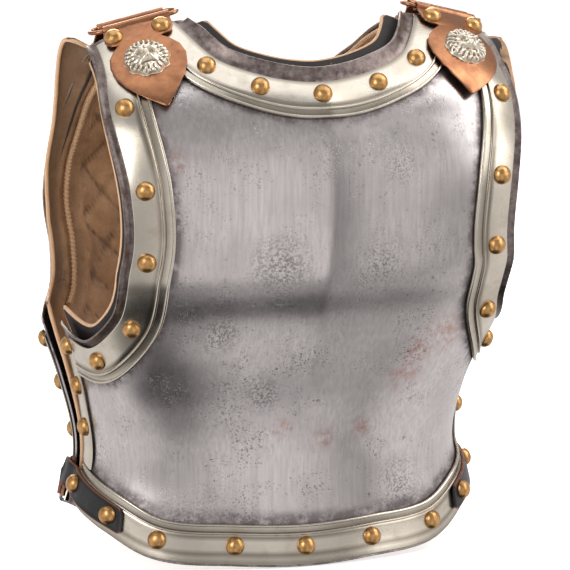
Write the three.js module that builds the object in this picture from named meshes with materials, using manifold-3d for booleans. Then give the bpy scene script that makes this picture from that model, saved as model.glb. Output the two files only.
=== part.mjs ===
// A cavalry cuirass: steel breastplate and backplate with nickel silver borders, brass rivets,
// copper shoulder plaques with lion masks, leather linings and buckled waist straps.
// Millimetres, +Z up, standing on its waist edges. The breast faces -Y, the wearer's right is -X.
import * as THREE from "three";
import { mergeVertices } from "three/addons/utils/BufferGeometryUtils.js";
import Module from "manifold-3d";

const wasm = await Module();
wasm.setup();

// ---- Driving dimensions ----
const STEEL = 2; // wall of the plates
const LINING = { thickness: 3, gap: 5.4 };
const BAND = { inner: 22, outer: 12, under: 1.5, flat: 2.7, crest: 3.9 }; // width beside its rivets, heights
const ARM_BAND = { inner: 20, outer: 12 };
const WAIST_BAND = { inner: 18, outer: 15 };
const BACK_BAND = { inner: 17, outer: 12 };
const STRIP = { width: 18, under: 1.7, top: 2.9 }; // plain strip down each side edge
const RIVET = { radius: 7.8, height: 6.4, gap: 0.6 };
const PLAQUE = { lift: 5, sheet: 1.4, roll: 3.8, bore: 2.3, rollLift: 6, reach: 47 };
const WIRE = 1.7; // radius of the shoulder links
const MASK = { radius: 18.5, gap: 0.6 };
const TAB = { lift: 4.2, leather: 2.4, width: 21, from: 69.5 };
const STRAP = { leather: 2.4, width: 23 };
const BUCKLE = { from: 64.2, to: 57, lift: 8, height: 32, bar: 3.2, plate: 2.4 };

// ---- Form of the torso ----
// A plate is a stack of superellipse sections about an upright axis, with turns in degrees from
// its middle. Above `fold` the sections tip over the shoulder about a line across the body, and
// `level` goes on as the arc of `radius`. `rivet` names the rows of a line that hold a rivet.
const BREAST = {
  out: -1,
  axis: 18,
  fold: 340,
  radius: 125,
  sideTurn: 90,
  shoulder: 471,
  rise: { neck: 7.5, arm: 4.4 }, // how far the rims turn outwards
  sections: [
    { level: -10, halfWidth: 177, depth: 104, square: 2.0 },
    { level: 20, halfWidth: 173, depth: 96, square: 2.0 },
    { level: 50, halfWidth: 168, depth: 92, square: 2.05 },
    { level: 90, halfWidth: 158, depth: 92, square: 2.15 },
    { level: 135, halfWidth: 162, depth: 103, square: 2.6 },
    { level: 180, halfWidth: 172, depth: 118, square: 3.4 },
    { level: 215, halfWidth: 186, depth: 134, square: 4.0 },
    { level: 260, halfWidth: 197, depth: 149, square: 4.4 },
    { level: 326, halfWidth: 200, depth: 155, square: 4.5 },
    { level: 387, halfWidth: 200, depth: 145, square: 4.0 },
    { level: 425, halfWidth: 200, depth: 134, square: 3.8 },
    { level: 460, halfWidth: 200, depth: 131, square: 3.5 },
    { level: 500, halfWidth: 200, depth: 128, square: 3.4 },
  ],
  neck: [
    { turn: 0, level: 387, rivet: "neck_centre" },
    { turn: 19, level: 395, rivet: "neck_inner" },
    { turn: 33, level: 415.5, rivet: "neck_outer" },
    { turn: 41.5, level: 460 },
    { turn: 43, level: 495 },
  ],
  arm: [
    { turn: 55, level: 495 },
    { turn: 53.5, level: 466 },
    { turn: 50.5, level: 387, rivet: "arm_1" },
    { turn: 45.5, level: 326, rivet: "arm_2" },
    { turn: 46, level: 269, rivet: "arm_3" },
    { turn: 53.5, level: 212, rivet: "arm_4" },
    { turn: 68, level: 179, rivet: "arm_5" },
    { turn: 80, level: 178 },
    { turn: 95, level: 184 },
  ],
  waist: [
    { turn: 0, level: 20.5, rivet: "waist_centre" },
    { turn: 33, level: 23, rivet: "waist_1" },
    { turn: 59.5, level: 28, rivet: "waist_2" },
    { turn: 73.5, level: 46, rivet: "waist_3" },
    { turn: 88, level: 63, rivet: "waist_4" },
    { turn: 98, level: 71 },
  ],
  side: [182, 148, 113], // levels of the rivets in the side strip
};
const BACK = {
  out: 1,
  axis: -30,
  fold: 300,
  radius: 150,
  sideTurn: 67,
  shoulder: 530,
  rise: { neck: 4, arm: 2.5 },
  sections: [
    { level: -10, halfWidth: 197, depth: 146, square: 2.2 },
    { level: 30, halfWidth: 192, depth: 139, square: 2.2 },
    { level: 95, halfWidth: 181, depth: 132, square: 2.3 },
    { level: 150, halfWidth: 185, depth: 143, square: 2.7 },
    { level: 205, halfWidth: 195, depth: 159, square: 3.4 },
    { level: 260, halfWidth: 201, depth: 171, square: 4.0 },
    { level: 310, halfWidth: 192, depth: 171, square: 4.0 },
    { level: 360, halfWidth: 183, depth: 162, square: 3.8 },
    { level: 410, halfWidth: 182, depth: 149, square: 3.8 },
    { level: 445, halfWidth: 186, depth: 139, square: 4.0 },
    { level: 480, halfWidth: 190, depth: 139, square: 4.3 },
    { level: 540, halfWidth: 190, depth: 144, square: 4.4 },
  ],
  neck: [
    { turn: 0, level: 352, rivet: "neck_centre" },
    { turn: 18, level: 358, rivet: "neck_inner" },
    { turn: 31, level: 385, rivet: "neck_outer" },
    { turn: 37.5, level: 430 },
    { turn: 40, level: 490 },
    { turn: 40, level: 555 },
  ],
  arm: [
    { turn: 47.5, level: 555 },
    { turn: 48, level: 485 },
    { turn: 50.5, level: 428, rivet: "arm_1" },
    { turn: 48, level: 370, rivet: "arm_2" },
    { turn: 45, level: 300, rivet: "arm_3" },
    { turn: 43, level: 248, rivet: "arm_4" },
    { turn: 49, level: 203, rivet: "arm_5" },
    { turn: 61, level: 183 },
    { turn: 72, level: 182 },
  ],
  waist: [
    { turn: 0, level: 20.5, rivet: "waist_centre" },
    { turn: 19.5, level: 21.3, rivet: "waist_1" },
    { turn: 38, level: 27.5, rivet: "waist_2" },
    { turn: 58, level: 48 },
    { turn: 68, level: 60 },
    { turn: 76, level: 67 },
  ],
  side: [180, 144, 104],
};

// Distances from the rivet lines to the outer edge of each sheet.
const STEEL_EDGE = { neck: 23, arm: 18.5, side: 0, waist: 16.5, shoulder: 0 };
const RIM_ROOT = { neck: 12.6, arm: 12.4, side: -5, waist: 11, shoulder: -6 };
const LINING_EDGE = { neck: 36, arm: 29, side: 8, waist: 14, shoulder: -5 };
const SHELL_CELLS = { shoulder: 2, neck: 5, side: 5, arm: 10 }; // facets of one half
const LINING_CELLS = { shoulder: 2, neck: 4, side: 3, arm: 8 };

const { degToRad, radToDeg, lerp, clamp, smoothstep } = THREE.MathUtils;
const vec = (x, y, z) => new THREE.Vector3(x, y, z);
const between = (a, b, t) => ({ turn: lerp(a.turn, b.turn, t), level: lerp(a.level, b.level, t) });
const mirrored = (spots) => spots.map(({ turn, level }) => ({ turn: -turn, level }));
const last = (list) => list[list.length - 1];

// Reads a table between its rows, by cubic Hermite pieces.
function readTable(rows, level) {
  let i = 0;
  while (i < rows.length - 2 && rows[i + 1].level < level) i++;
  const [a, b] = [rows[i], rows[i + 1]];
  const [before, after] = [rows[Math.max(i - 1, 0)], rows[Math.min(i + 2, rows.length - 1)]];
  const span = b.level - a.level;
  const t = clamp((level - a.level) / span, -0.5, 1.5);
  const read = (column) => {
    const rise = b[column] - a[column];
    const slopeA = ((b[column] - before[column]) / (b.level - before.level)) * span;
    const slopeB = ((after[column] - a[column]) / (after.level - a.level)) * span;
    return a[column] + t * (slopeA + t * (3 * rise - 2 * slopeA - slopeB + t * (slopeA + slopeB - 2 * rise)));
  };
  return { halfWidth: read("halfWidth"), depth: read("depth"), square: read("square") };
}

// Keel down the middle of the breast, fading towards the waist and the neck.
function keel(x, level) {
  const height = 6.5 * smoothstep(level, 130, 270) * (1 - smoothstep(level, 372, 405));
  return height * Math.exp(-Math.sqrt(x * x + 16) / 42);
}

function skin(face, { turn, level }) {
  const { halfWidth, depth, square } = readTable(face.sections, level);
  const [s, c] = [Math.sin(degToRad(turn)), Math.cos(degToRad(turn))];
  const reach = (Math.abs(s / halfWidth) ** square + Math.abs(c / depth) ** square) ** (-1 / square);
  const forward = reach * c + (face === BREAST ? keel(reach * s, level) : 0);
  if (level <= face.fold) return vec(reach * s, face.axis + face.out * forward, level);
  const tip = (level - face.fold) / face.radius;
  return vec(reach * s, face.axis + face.out * forward * Math.cos(tip), face.fold + forward * Math.sin(tip));
}

function normalAt(face, { turn, level }) {
  const across = skin(face, { turn: turn + 0.2, level }).sub(skin(face, { turn: turn - 0.2, level }));
  const up = skin(face, { turn, level: level + 0.5 }).sub(skin(face, { turn, level: level - 0.5 }));
  return across.cross(up).multiplyScalar(-face.out).normalize();
}

const raised = (face, spot, height) => skin(face, spot).addScaledVector(normalAt(face, spot), height);

// The spot of the form under a point, read along its own section.
function spotUnder(face, point) {
  const ahead = face.out * (point.y - face.axis);
  const above = point.z - face.fold;
  if (above <= 0) return { turn: radToDeg(Math.atan2(point.x, ahead)), level: point.z };
  const forward = Math.hypot(ahead, above);
  const level = face.fold + face.radius * Math.atan2(above, ahead);
  return { turn: radToDeg(Math.atan2(point.x, forward)), level };
}

// ---- Lines on the form ----
const MM_PER_DEGREE = 2.6; // of skin, about

function smoothLine(rows, count) {
  const points = rows.map(({ turn, level }) => vec(turn * MM_PER_DEGREE, level, 0));
  const curve = new THREE.CatmullRomCurve3(points, false, "centripetal");
  return curve.getSpacedPoints(count).map((p) => ({ turn: p.x / MM_PER_DEGREE, level: p.y }));
}

// Moves a line sideways over the form, by a distance or by one for each of its spots: outwards
// from the lines of the neck and arms, and inwards from that of the waist.
function offsetLine(face, spots, distance) {
  const distanceAt = typeof distance === "function" ? distance : () => distance;
  return spots.map((spot, i) => {
    const ahead = skin(face, spots[Math.min(i + 1, spots.length - 1)]);
    const behind = skin(face, spots[Math.max(i - 1, 0)]);
    const sideways = normalAt(face, spot).cross(ahead.sub(behind)).normalize();
    return spotUnder(face, skin(face, spot).addScaledVector(sideways, -face.out * distanceAt(i)));
  });
}

// Cuts a line where a column passes a limit, and keeps the part below the limit.
function keepBelow(spots, column, limit) {
  const kept = [];
  spots.forEach((spot, i) => {
    const before = spots[i - 1];
    if (before && (spot[column] <= limit) !== (before[column] <= limit)) {
      kept.push(between(before, spot, (limit - before[column]) / (spot[column] - before[column])));
    }
    if (spot[column] <= limit) kept.push(spot);
  });
  return kept;
}

// The same line with evenly spaced spots.
function respace(face, spots, count) {
  const along = [0];
  for (let i = 1; i < spots.length; i++) {
    along.push(along[i - 1] + skin(face, spots[i]).distanceTo(skin(face, spots[i - 1])));
  }
  return Array.from({ length: count + 1 }, (_, k) => {
    const at = (last(along) * k) / count;
    let i = 1;
    while (i < spots.length - 1 && along[i] < at) i++;
    return between(spots[i - 1], spots[i], (at - along[i - 1]) / (along[i] - along[i - 1]));
  });
}

// A whole line across the body from its left half, which starts at the middle.
const acrossBody = (half) => [...mirrored(half.slice(1)).reverse(), ...half];

// ---- Closed solids from sheets ----
function solid(points, faces) {
  const geometry = new THREE.BufferGeometry();
  geometry.setAttribute("position", new THREE.Float32BufferAttribute(points.flatMap((p) => p.toArray()), 3));
  geometry.setIndex(faces.flat());
  return outwards(geometry);
}

// Turns a closed geometry right side out.
function outwards(geometry) {
  const [position, index] = [geometry.attributes.position, geometry.index.array];
  const corner = (k) => vec().fromBufferAttribute(position, index[k]);
  let volume = 0;
  for (let i = 0; i < index.length; i += 3) volume += corner(i).dot(corner(i + 1).cross(corner(i + 2)));
  if (volume < 0) {
    for (let i = 0; i < index.length; i += 3) [index[i + 1], index[i + 2]] = [index[i + 2], index[i + 1]];
  }
  return geometry;
}

const gridQuads = (wide, tall) => Array.from({ length: (wide - 1) * (tall - 1) }, (_, k) => {
  const a = Math.floor(k / (wide - 1)) * wide + (k % (wide - 1));
  return [a, a + 1, a + 1 + wide, a + wide];
});

function gridRim(wide, tall) {
  const rim = [];
  for (let i = 0; i < wide - 1; i++) rim.push(i);
  for (let j = 0; j < tall - 1; j++) rim.push(j * wide + wide - 1);
  for (let i = wide - 1; i > 0; i--) rim.push((tall - 1) * wide + i);
  for (let j = tall - 1; j > 0; j--) rim.push(j * wide);
  return rim;
}

// Joins an upper and a lower layer of the same quads round their rim.
function layers(upper, lower, quads, rim) {
  const count = upper.length;
  const faces = quads.flatMap(([a, b, c, d]) => [[a, b, c], [a, c, d]]);
  const under = faces.map(([a, b, c]) => [a + count, c + count, b + count]);
  const wall = rim.flatMap((a, i) => {
    const b = rim[(i + 1) % rim.length];
    return [[a, a + count, b + count], [a, b + count, b]];
  });
  return solid([...upper, ...lower], [...faces, ...under, ...wall]);
}

// The layer a distance below a sheet, along the sheet's own normals.
function layerBelow(points, quads, distance) {
  const normals = points.map(() => vec(0, 0, 0));
  for (const [a, b, c, d] of quads) {
    const normal = points[c].clone().sub(points[a]).cross(points[d].clone().sub(points[b]));
    for (const k of [a, b, c, d]) normals[k].add(normal);
  }
  return points.map((p, i) => p.clone().addScaledVector(normals[i].normalize(), -distance));
}

// A small sheet over the form: `spotAt` and `heightAt` take 0 to 1 along and across it.
function patch(face, spotAt, heightAt, thickness, along, across) {
  const at = (layer) => Array.from({ length: (along + 1) * (across + 1) }, (_, k) => {
    const [u, v] = [(k % (along + 1)) / along, Math.floor(k / (along + 1)) / across];
    return raised(face, spotAt(u, v), heightAt(u, v) + layer);
  });
  return layers(at(thickness), at(0), gridQuads(along + 1, across + 1), gridRim(along + 1, across + 1));
}

// ---- Plates and linings ----
// The four sides of a sheet, each edge lying at its own distance from its rivet line.
function outline(face, edge, cells) {
  const shoulder = face.shoulder + edge.shoulder;
  const side = face.sideTurn + radToDeg(edge.side / girthAt(face, 120));
  const neck = keepBelow(offsetLine(face, smoothLine(face.neck, 60), edge.neck), "level", shoulder);
  const armEdge = offsetLine(face, smoothLine(face.arm, 90), edge.arm);
  const arm = keepBelow(keepBelow(armEdge, "level", shoulder), "turn", side).reverse();
  const waist = keepBelow(offsetLine(face, smoothLine(face.waist, 60), -edge.waist), "turn", side);
  neck[0].turn = 0;
  waist[0].turn = 0;
  const bottom = respace(face, waist, cells.neck + cells.shoulder);
  const shoulderLine = respace(face, [last(neck), last(arm)], cells.shoulder);
  const sideLine = respace(face, [last(bottom), arm[0]], cells.side);
  const right = [...sideLine, ...respace(face, arm, cells.arm).slice(1)];
  const top = [...respace(face, neck, cells.neck), ...shoulderLine.slice(1)];
  return { bottom: acrossBody(bottom), right, top: acrossBody(top), left: mirrored(right) };
}

// The grid inside an outline: a Coons patch, evened out by averaging each spot's neighbours.
function fillOutline({ bottom, right, top, left }) {
  const [wide, tall] = [bottom.length - 1, right.length - 1];
  const blend = (u, v, i, j, key) =>
    (1 - v) * bottom[i][key] + v * top[i][key] + (1 - u) * left[j][key] + u * right[j][key] -
    (1 - v) * ((1 - u) * bottom[0][key] + u * bottom[wide][key]) -
    v * ((1 - u) * top[0][key] + u * top[wide][key]);
  const grid = right.map((_, j) => bottom.map((__, i) => {
    const [u, v] = [i / wide, j / tall];
    return { turn: blend(u, v, i, j, "turn"), level: blend(u, v, i, j, "level") };
  }));
  for (let round = 0; round < 60; round++) {
    for (let j = 1; j < tall; j++) {
      for (let i = 1; i < wide; i++) {
        const near = [grid[j - 1][i], grid[j + 1][i], grid[j][i - 1], grid[j][i + 1]];
        for (const key of ["turn", "level"]) grid[j][i][key] = near.reduce((sum, s) => sum + s[key], 0) / 4;
      }
    }
  }
  return unfold(grid);
}

// Moves the inner spots of a grid, the same on both halves, until no facet is small or folded.
function unfold(grid) {
  const wide = grid[0].length - 1;
  const area = (a, b, c) =>
    (b.turn - a.turn) * (c.level - a.level) - (c.turn - a.turn) * (b.level - a.level);
  const leastIn = (x, y) => {
    const [a, b, c, d] = [grid[y][x], grid[y][x + 1], grid[y + 1][x + 1], grid[y + 1][x]];
    return Math.min(area(a, b, c), area(a, c, d), area(a, b, d), area(b, c, d));
  };
  const smallest = (i, j) =>
    Math.min(leastIn(i - 1, j - 1), leastIn(i, j - 1), leastIn(i - 1, j), leastIn(i, j));
  const place = (i, j, spot) => {
    grid[j][i] = spot;
    if (2 * i !== wide) grid[j][wide - i] = mirrored([spot])[0];
  };
  for (let step = 6; step > 0.3; step *= 0.85) {
    for (let j = 1; j < grid.length - 1; j++) {
      for (let i = Math.floor(wide / 2); i < wide; i++) {
        let [best, least] = [grid[j][i], smallest(i, j)];
        if (least > 90) continue;
        const from = best;
        for (let k = 0; k < 8; k++) {
          const [x, y] = [Math.cos((k * Math.PI) / 4), Math.sin((k * Math.PI) / 4)];
          const sideways = 2 * i === wide ? 0 : 0.4 * step * x;
          place(i, j, { turn: from.turn + sideways, level: from.level + step * y });
          const now = smallest(i, j);
          if (now > least) [best, least] = [grid[j][i], now];
        }
        place(i, j, best);
      }
    }
  }
  return grid;
}

// The outline as one loop of spots, each with the name of the edge it is on.
function edgeLoop({ bottom, right, top, left }, cells) {
  const armFrom = cells.side;
  const name = (list, nameOf) => list.map((spot, k) => ({ ...spot, edge: nameOf(k) }));
  const sideName = (k) => (k >= armFrom ? "arm" : "side");
  const neckEnd = cells.shoulder;
  const topName = (k) => {
    if (k === 0 || k === top.length - 1) return "arm";
    return k >= neckEnd && k <= top.length - 1 - neckEnd ? "neck" : "shoulder";
  };
  return [
    ...name(bottom, () => "waist").slice(0, -1), ...name(right, sideName).slice(0, -1),
    ...name(top, topName).reverse().slice(0, -1), ...name(left, sideName).reverse().slice(0, -1),
  ];
}

// A plate: the grid inside the roots of its rims, then strips that turn outwards at neck and arms.
function plateShell(face) {
  const root = outline(face, RIM_ROOT, SHELL_CELLS);
  const grid = fillOutline(root);
  const [wide, tall] = [grid[0].length, grid.length];
  const points = grid.flat().map((spot) => skin(face, spot));
  const quads = gridQuads(wide, tall);
  const near = edgeLoop(root, SHELL_CELLS);
  const far = edgeLoop(outline(face, STEEL_EDGE, SHELL_CELLS), SHELL_CELLS);
  let rim = gridRim(wide, tall);
  for (const t of [0.45, 1]) {
    const next = far.map((spot, k) => {
      const fromSide = smoothstep(face.sideTurn - Math.abs(spot.turn), 0, 16);
      const fromShoulder = smoothstep(face.shoulder - spot.level, 0, 25);
      const fade = lerp(0.35, 1, fromSide) * lerp(0.5, 1, fromShoulder);
      const rise = fade * (face.rise[spot.edge] ?? 0);
      return points.push(raised(face, between(near[k], spot, t), rise * t ** 1.7)) - 1;
    });
    rim.forEach((a, k) => {
      const after = (k + 1) % rim.length;
      quads.push([a, next[k], next[after], rim[after]]);
    });
    rim = next;
  }
  return layers(points, layerBelow(points, quads, -face.out * STEEL), quads, rim);
}

// A lining: an even layer under the plate, whose neck edge turns out behind the plate's rim.
function plateLining(face) {
  const grid = fillOutline(outline(face, LINING_EDGE, LINING_CELLS));
  const [wide, tall] = [grid[0].length, grid.length];
  const shoulder = LINING_CELLS.shoulder;
  const riseAt = (k) => {
    const column = k % wide;
    const onNeck = k >= wide * (tall - 1) && column > shoulder && column < wide - 1 - shoulder;
    return onNeck ? face.rise.neck : 0;
  };
  const at = (depth) => grid.flat().map((spot, k) => raised(face, spot, riseAt(k) - depth));
  const outer = STEEL + LINING.gap;
  return layers(at(outer), at(outer + LINING.thickness), gridQuads(wide, tall), gridRim(wide, tall));
}

// ---- Borders ----
// Sections of a border as [distance towards the edge, height over the skin].
const section = ({ inner, outer }, ...top) => [
  [-inner, BAND.under], ...top, [-inner + 11, BAND.flat], [outer - 11, BAND.flat], [outer, BAND.flat],
  [outer, BAND.under], [outer - 11, BAND.under], [-inner + 11, BAND.under],
];
const beaded = (size) => section(size, [-size.inner + 1, BAND.crest], [-size.inner + 8.6, BAND.crest - 0.3]);
const plainBead = (size) => section(size, [-size.inner, BAND.crest]);

// Sweeps a section along a line of the form. `flip` is -1 where the edge is on the other side.
// The inner half narrows where the border nears the line of the next one.
function border(face, line, profile, { flip = 1, next = [], end: limit = Infinity } = {}) {
  const inner = -profile[0][0];
  const room = line.map((spot) => {
    const here = skin(face, spot);
    const nearest = Math.min(...next.map((other) => skin(face, other).distanceTo(here)), 3 * inner);
    return Math.min(1, (nearest / 2 - 0.5) / inner);
  });
  const columns = profile.map(([distance]) =>
    offsetLine(face, line, (i) => flip * distance * (distance < 0 ? room[i] : 1))
      .map(({ turn, level }, i) => ({ turn: Math.min(turn, limit - 0.8 * (line.length - 1 - i)), level })));
  const points = line.flatMap((_, i) => profile.map(([, height], k) => raised(face, columns[k][i], height)));
  const [n, end] = [profile.length, (line.length - 1) * profile.length];
  const faces = [];
  for (let i = 0; i < end; i += n) {
    for (let k = 0; k < n; k++) {
      const [a, b] = [i + k, i + ((k + 1) % n)];
      if (k < n - 4) faces.push([a, b, b + n], [a, b + n, a + n]);
      else faces.push([a, b, a + n], [b, b + n, a + n]);
    }
  }
  const area = (list) => list.reduce((sum, [x, y], i) => {
    const [nextX, nextY] = list[(i + 1) % list.length];
    return sum + x * nextY - nextX * y;
  }, 0);
  for (const cap of THREE.ShapeUtils.triangulateShape(profile.map(([x, y]) => new THREE.Vector2(x, y)), [])) {
    const same = area(cap.map((k) => profile[k])) > 0 === area(profile) > 0;
    const [a, b, c] = same ? cap : [cap[0], cap[2], cap[1]];
    faces.push([a, c, b], [a + end, b + end, c + end]);
  }
  return solid(points, faces);
}

const neckLine = (face) => keepBelow(smoothLine(face.neck, 60), "level", face.shoulder - 8);
const armLine = (face) => keepBelow(smoothLine(face.arm, 90), "level", face.shoulder - 8);
function girthAt(face, level) {
  const { x, y } = skin(face, { turn: face.sideTurn, level });
  return Math.hypot(x, y);
}

function neckBorder(face, profile, cells) {
  const arms = [...armLine(face), ...mirrored(armLine(face))];
  return border(face, acrossBody(respace(face, neckLine(face), cells)), profile, { next: arms });
}

function armBorder(face, profile, cells) {
  const end = face.sideTurn - radToDeg((STRIP.width + 1) / girthAt(face, 120));
  const line = respace(face, keepBelow(armLine(face), "turn", end), cells);
  return border(face, line, profile, { next: neckLine(face), end });
}

function waistBorder(face, profile, cells) {
  const half = keepBelow(smoothLine(face.waist, 60), "turn", face.sideTurn - 0.3);
  return border(face, acrossBody(respace(face, half, cells)), profile, { flip: -1 });
}

// The level of a line at a turn.
function levelAt(line, turn) {
  const i = Math.max(1, line.findIndex((spot) => spot.turn > turn));
  const [a, b] = [line[i - 1], line[i]];
  return lerp(a.level, b.level, (turn - a.turn) / (b.turn - a.turn));
}

// The plain strip down a side edge, from the waist border to the rim of the armhole.
function sideStrip(face) {
  const bottom = offsetLine(face, smoothLine(face.waist, 60), WAIST_BAND.inner + 0.8);
  const top = offsetLine(face, smoothLine(face.arm, 90).slice(45), RIM_ROOT.arm - 12);
  const front = face.sideTurn - radToDeg(STRIP.width / girthAt(face, 120));
  const spotAt = (u, v) => {
    const turn = lerp(front, face.sideTurn - 0.3, u);
    return { turn, level: lerp(levelAt(bottom, turn), levelAt(top, turn), v) };
  };
  const strip = patch(face, spotAt, () => STRIP.under, STRIP.top - STRIP.under, 2, 6);
  const turn = (front + face.sideTurn) / 2;
  return join(strip, ...face.side.map((level) => simpleRivet(face, { turn, level }, STRIP.under + 0.3)));
}

// ---- Rivets, plaques, links ----
// Welds a geometry's corners and drops the slivers that welding leaves at its poles.
function weld(geometry) {
  for (const name of ["normal", "uv"]) geometry.deleteAttribute(name);
  const welded = mergeVertices(geometry, 1e-4);
  const index = Array.from(welded.index.array);
  const kept = [];
  for (let i = 0; i < index.length; i += 3) {
    const [a, b, c] = index.slice(i, i + 3);
    if (a !== b && b !== c && c !== a) kept.push(a, b, c);
  }
  welded.setIndex(kept);
  return outwards(welded);
}

function toManifold(geometry) {
  return new wasm.Manifold(new wasm.Mesh({
    numProp: 3,
    vertProperties: new Float32Array(geometry.attributes.position.array),
    triVerts: new Uint32Array(geometry.index.array),
  }));
}

function join(...geometries) {
  const mesh = geometries.map(toManifold).reduce((whole, part) => whole.add(part)).getMesh();
  const joined = new THREE.BufferGeometry();
  joined.setAttribute("position", new THREE.BufferAttribute(mesh.vertProperties, 3));
  joined.setIndex(Array.from(mesh.triVerts));
  return joined;
}

// A domed rivet standing on the form at a spot. Those joined to a border have fewer facets.
const DOME = [[0, 0], [1, 0], [0.92, 0.52], [0.56, 0.88], [0, 1]];
const SIMPLE_DOME = [[0, 0], [1, 0], [0.72, 0.72], [0, 1]];

function rivet(face, spot, height, profile = DOME, sides = 7) {
  const curve = profile.map(([r, h]) => new THREE.Vector2(r * RIVET.radius, h * RIVET.height));
  const dome = weld(new THREE.LatheGeometry(curve, sides));
  const stand = new THREE.Quaternion().setFromUnitVectors(vec(0, 1, 0), normalAt(face, spot));
  return dome.applyMatrix4(new THREE.Matrix4().compose(raised(face, spot, height), stand, vec(1, 1, 1)));
}

const simpleRivet = (face, spot, height) => rivet(face, spot, height, SIMPLE_DOME, 6);

// Maps a flat drawing onto the form: p runs sideways and q up from the origin spot.
function drawingOn(face, origin, upSpot) {
  const centre = skin(face, origin);
  const normal = normalAt(face, origin);
  const up = skin(face, upSpot).sub(centre).projectOnPlane(normal).normalize();
  const across = up.clone().cross(normal).multiplyScalar(face === BREAST ? 1 : -1);
  return (p, q) => spotUnder(face, centre.clone().addScaledVector(across, p).addScaledVector(up, q));
}

// Half widths of the shoulder plaques at heights q over the mask: a leaf under a flange with ears.
const LEAF = [
  { q: -48, half: 1.2 }, { q: -42, half: 7 }, { q: -33, half: 15.5 }, { q: -22, half: 23.5 },
  { q: -11, half: 28.5 }, { q: 0, half: 30.5 }, { q: 10, half: 28 }, { q: 18, half: 22 },
  { q: 23, half: 14.5 }, { q: 25, half: 20 }, { q: 29, half: 26.5 }, { q: 34, half: 28.5 },
  { q: 41, half: 28.5 },
];
const TONGUE = [
  { q: 6, half: 10 }, { q: 10, half: 19 }, { q: 17, half: 25 }, { q: 30, half: 28.5 }, { q: 41, half: 28.5 },
];
const EAR = { p: 19.5, q: 33 }; // place of the rivets in the ears
const LINK_HALF = 28; // from the middle of a roll to the round ends of the link
const ROLL_STEP = [0, 17, 0.5]; // from the front roll to the rear one

// A bar or pipe of round section between two points.
function pipe(from, to, radius, bore, sides) {
  const polygon = (r) => Array.from({ length: sides }, (_, k) => {
    const angle = (2 * Math.PI * (k + 0.5)) / sides;
    return new THREE.Vector2(r * Math.cos(angle), r * Math.sin(angle));
  });
  const shape = new THREE.Shape(polygon(radius));
  shape.holes.push(new THREE.Path(polygon(bore)));
  const geometry = new THREE.ExtrudeGeometry(shape, { depth: from.distanceTo(to), bevelEnabled: false });
  const aim = new THREE.Quaternion().setFromUnitVectors(vec(0, 0, 1), to.clone().sub(from).normalize());
  return weld(geometry).applyMatrix4(new THREE.Matrix4().compose(from, aim, vec(1, 1, 1)));
}

const FRONT = drawingOn(BREAST, { turn: 46.4, level: 425 }, { turn: 47.8, level: 459 });
const REAR = drawingOn(BACK, { turn: 42.7, level: 478 }, { turn: 45.2, level: 530 });

// Ends of the axes of both rolls of a shoulder, or of a line on them with another half length.
function rollAxis(isRear, half) {
  const ends = [-half, half].map((p) => raised(BREAST, FRONT(p, PLAQUE.reach), PLAQUE.rollLift));
  return isRear ? ends.map((end) => end.add(vec(...ROLL_STEP))) : ends;
}

// A plaque: a sheet over the form whose last row runs into the wall of its roll.
function plaque(face, place, rows) {
  const across = 4;
  const half = last(rows).half;
  const [from, to] = rollAxis(face === BACK, half);
  const spread = Array.from({ length: across + 1 }, (_, i) => i / across);
  const edge = spread.map((t) => raised(face, place(lerp(-half, half, t), last(rows).q), PLAQUE.lift));
  const wall = (layer) => spread.map((t, i) => {
    const axis = from.clone().lerp(to, t);
    const away = edge[i].clone().sub(axis).normalize();
    const normal = normalAt(face, place(0, last(rows).q));
    return axis.addScaledVector(away, PLAQUE.roll - 0.6).addScaledVector(normal, layer - PLAQUE.sheet / 2);
  });
  const at = (layer) => [
    ...rows.flatMap((row) => spread.map((t) =>
      raised(face, place(lerp(-row.half, row.half, t), row.q), PLAQUE.lift + layer))), ...wall(layer),
  ];
  const [wide, tall] = [across + 1, rows.length + 1];
  const sheet = layers(at(PLAQUE.sheet), at(0), gridQuads(wide, tall), gridRim(wide, tall));
  return join(sheet, pipe(from, to, PLAQUE.roll, PLAQUE.bore, 8));
}

// A round wire along a closed run of points that lie about in one plane.
function wireRing(stations, flatNormal, sides) {
  const count = stations.length;
  const points = stations.flatMap((p, i) => {
    const ahead = stations[(i + 1) % count].clone().sub(stations[(i + count - 1) % count]);
    const inward = flatNormal.clone().cross(ahead).normalize();
    return Array.from({ length: sides }, (_, k) => {
      const angle = (2 * Math.PI * k) / sides;
      const [beside, above] = [WIRE * Math.cos(angle), WIRE * Math.sin(angle)];
      return p.clone().addScaledVector(inward, beside).addScaledVector(flatNormal, above);
    });
  });
  const faces = Array.from({ length: count * sides }, (_, v) => {
    const beside = v - (v % sides) + ((v + 1) % sides);
    const [on, onBeside] = [(v + sides) % points.length, (beside + sides) % points.length];
    return [[v, beside, onBeside], [v, onBeside, on]];
  });
  return solid(points, faces.flat());
}

// The link through the rolls of both plaques: two straight runs and two round ends.
function link() {
  const [frontIn, frontOut] = rollAxis(false, LINK_HALF);
  const [backIn, backOut] = rollAxis(true, LINK_HALF);
  const outwardsAt = frontOut.clone().sub(frontIn).normalize();
  const bend = (from, to, away) => Array.from({ length: 7 }, (_, k) => {
    const angle = (Math.PI * k) / 6;
    const centre = from.clone().lerp(to, 0.5);
    const reach = from.clone().sub(centre);
    const out = reach.length() * Math.sin(angle);
    return centre.addScaledVector(reach, Math.cos(angle)).addScaledVector(away, out);
  });
  const inwardsAt = outwardsAt.clone().negate();
  const stations = [...bend(frontOut, backOut, outwardsAt), ...bend(backIn, frontIn, inwardsAt)];
  const flatNormal = outwardsAt.clone().cross(backOut.clone().sub(frontOut)).normalize();
  return wireRing(stations, flatNormal, 6);
}

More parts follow.
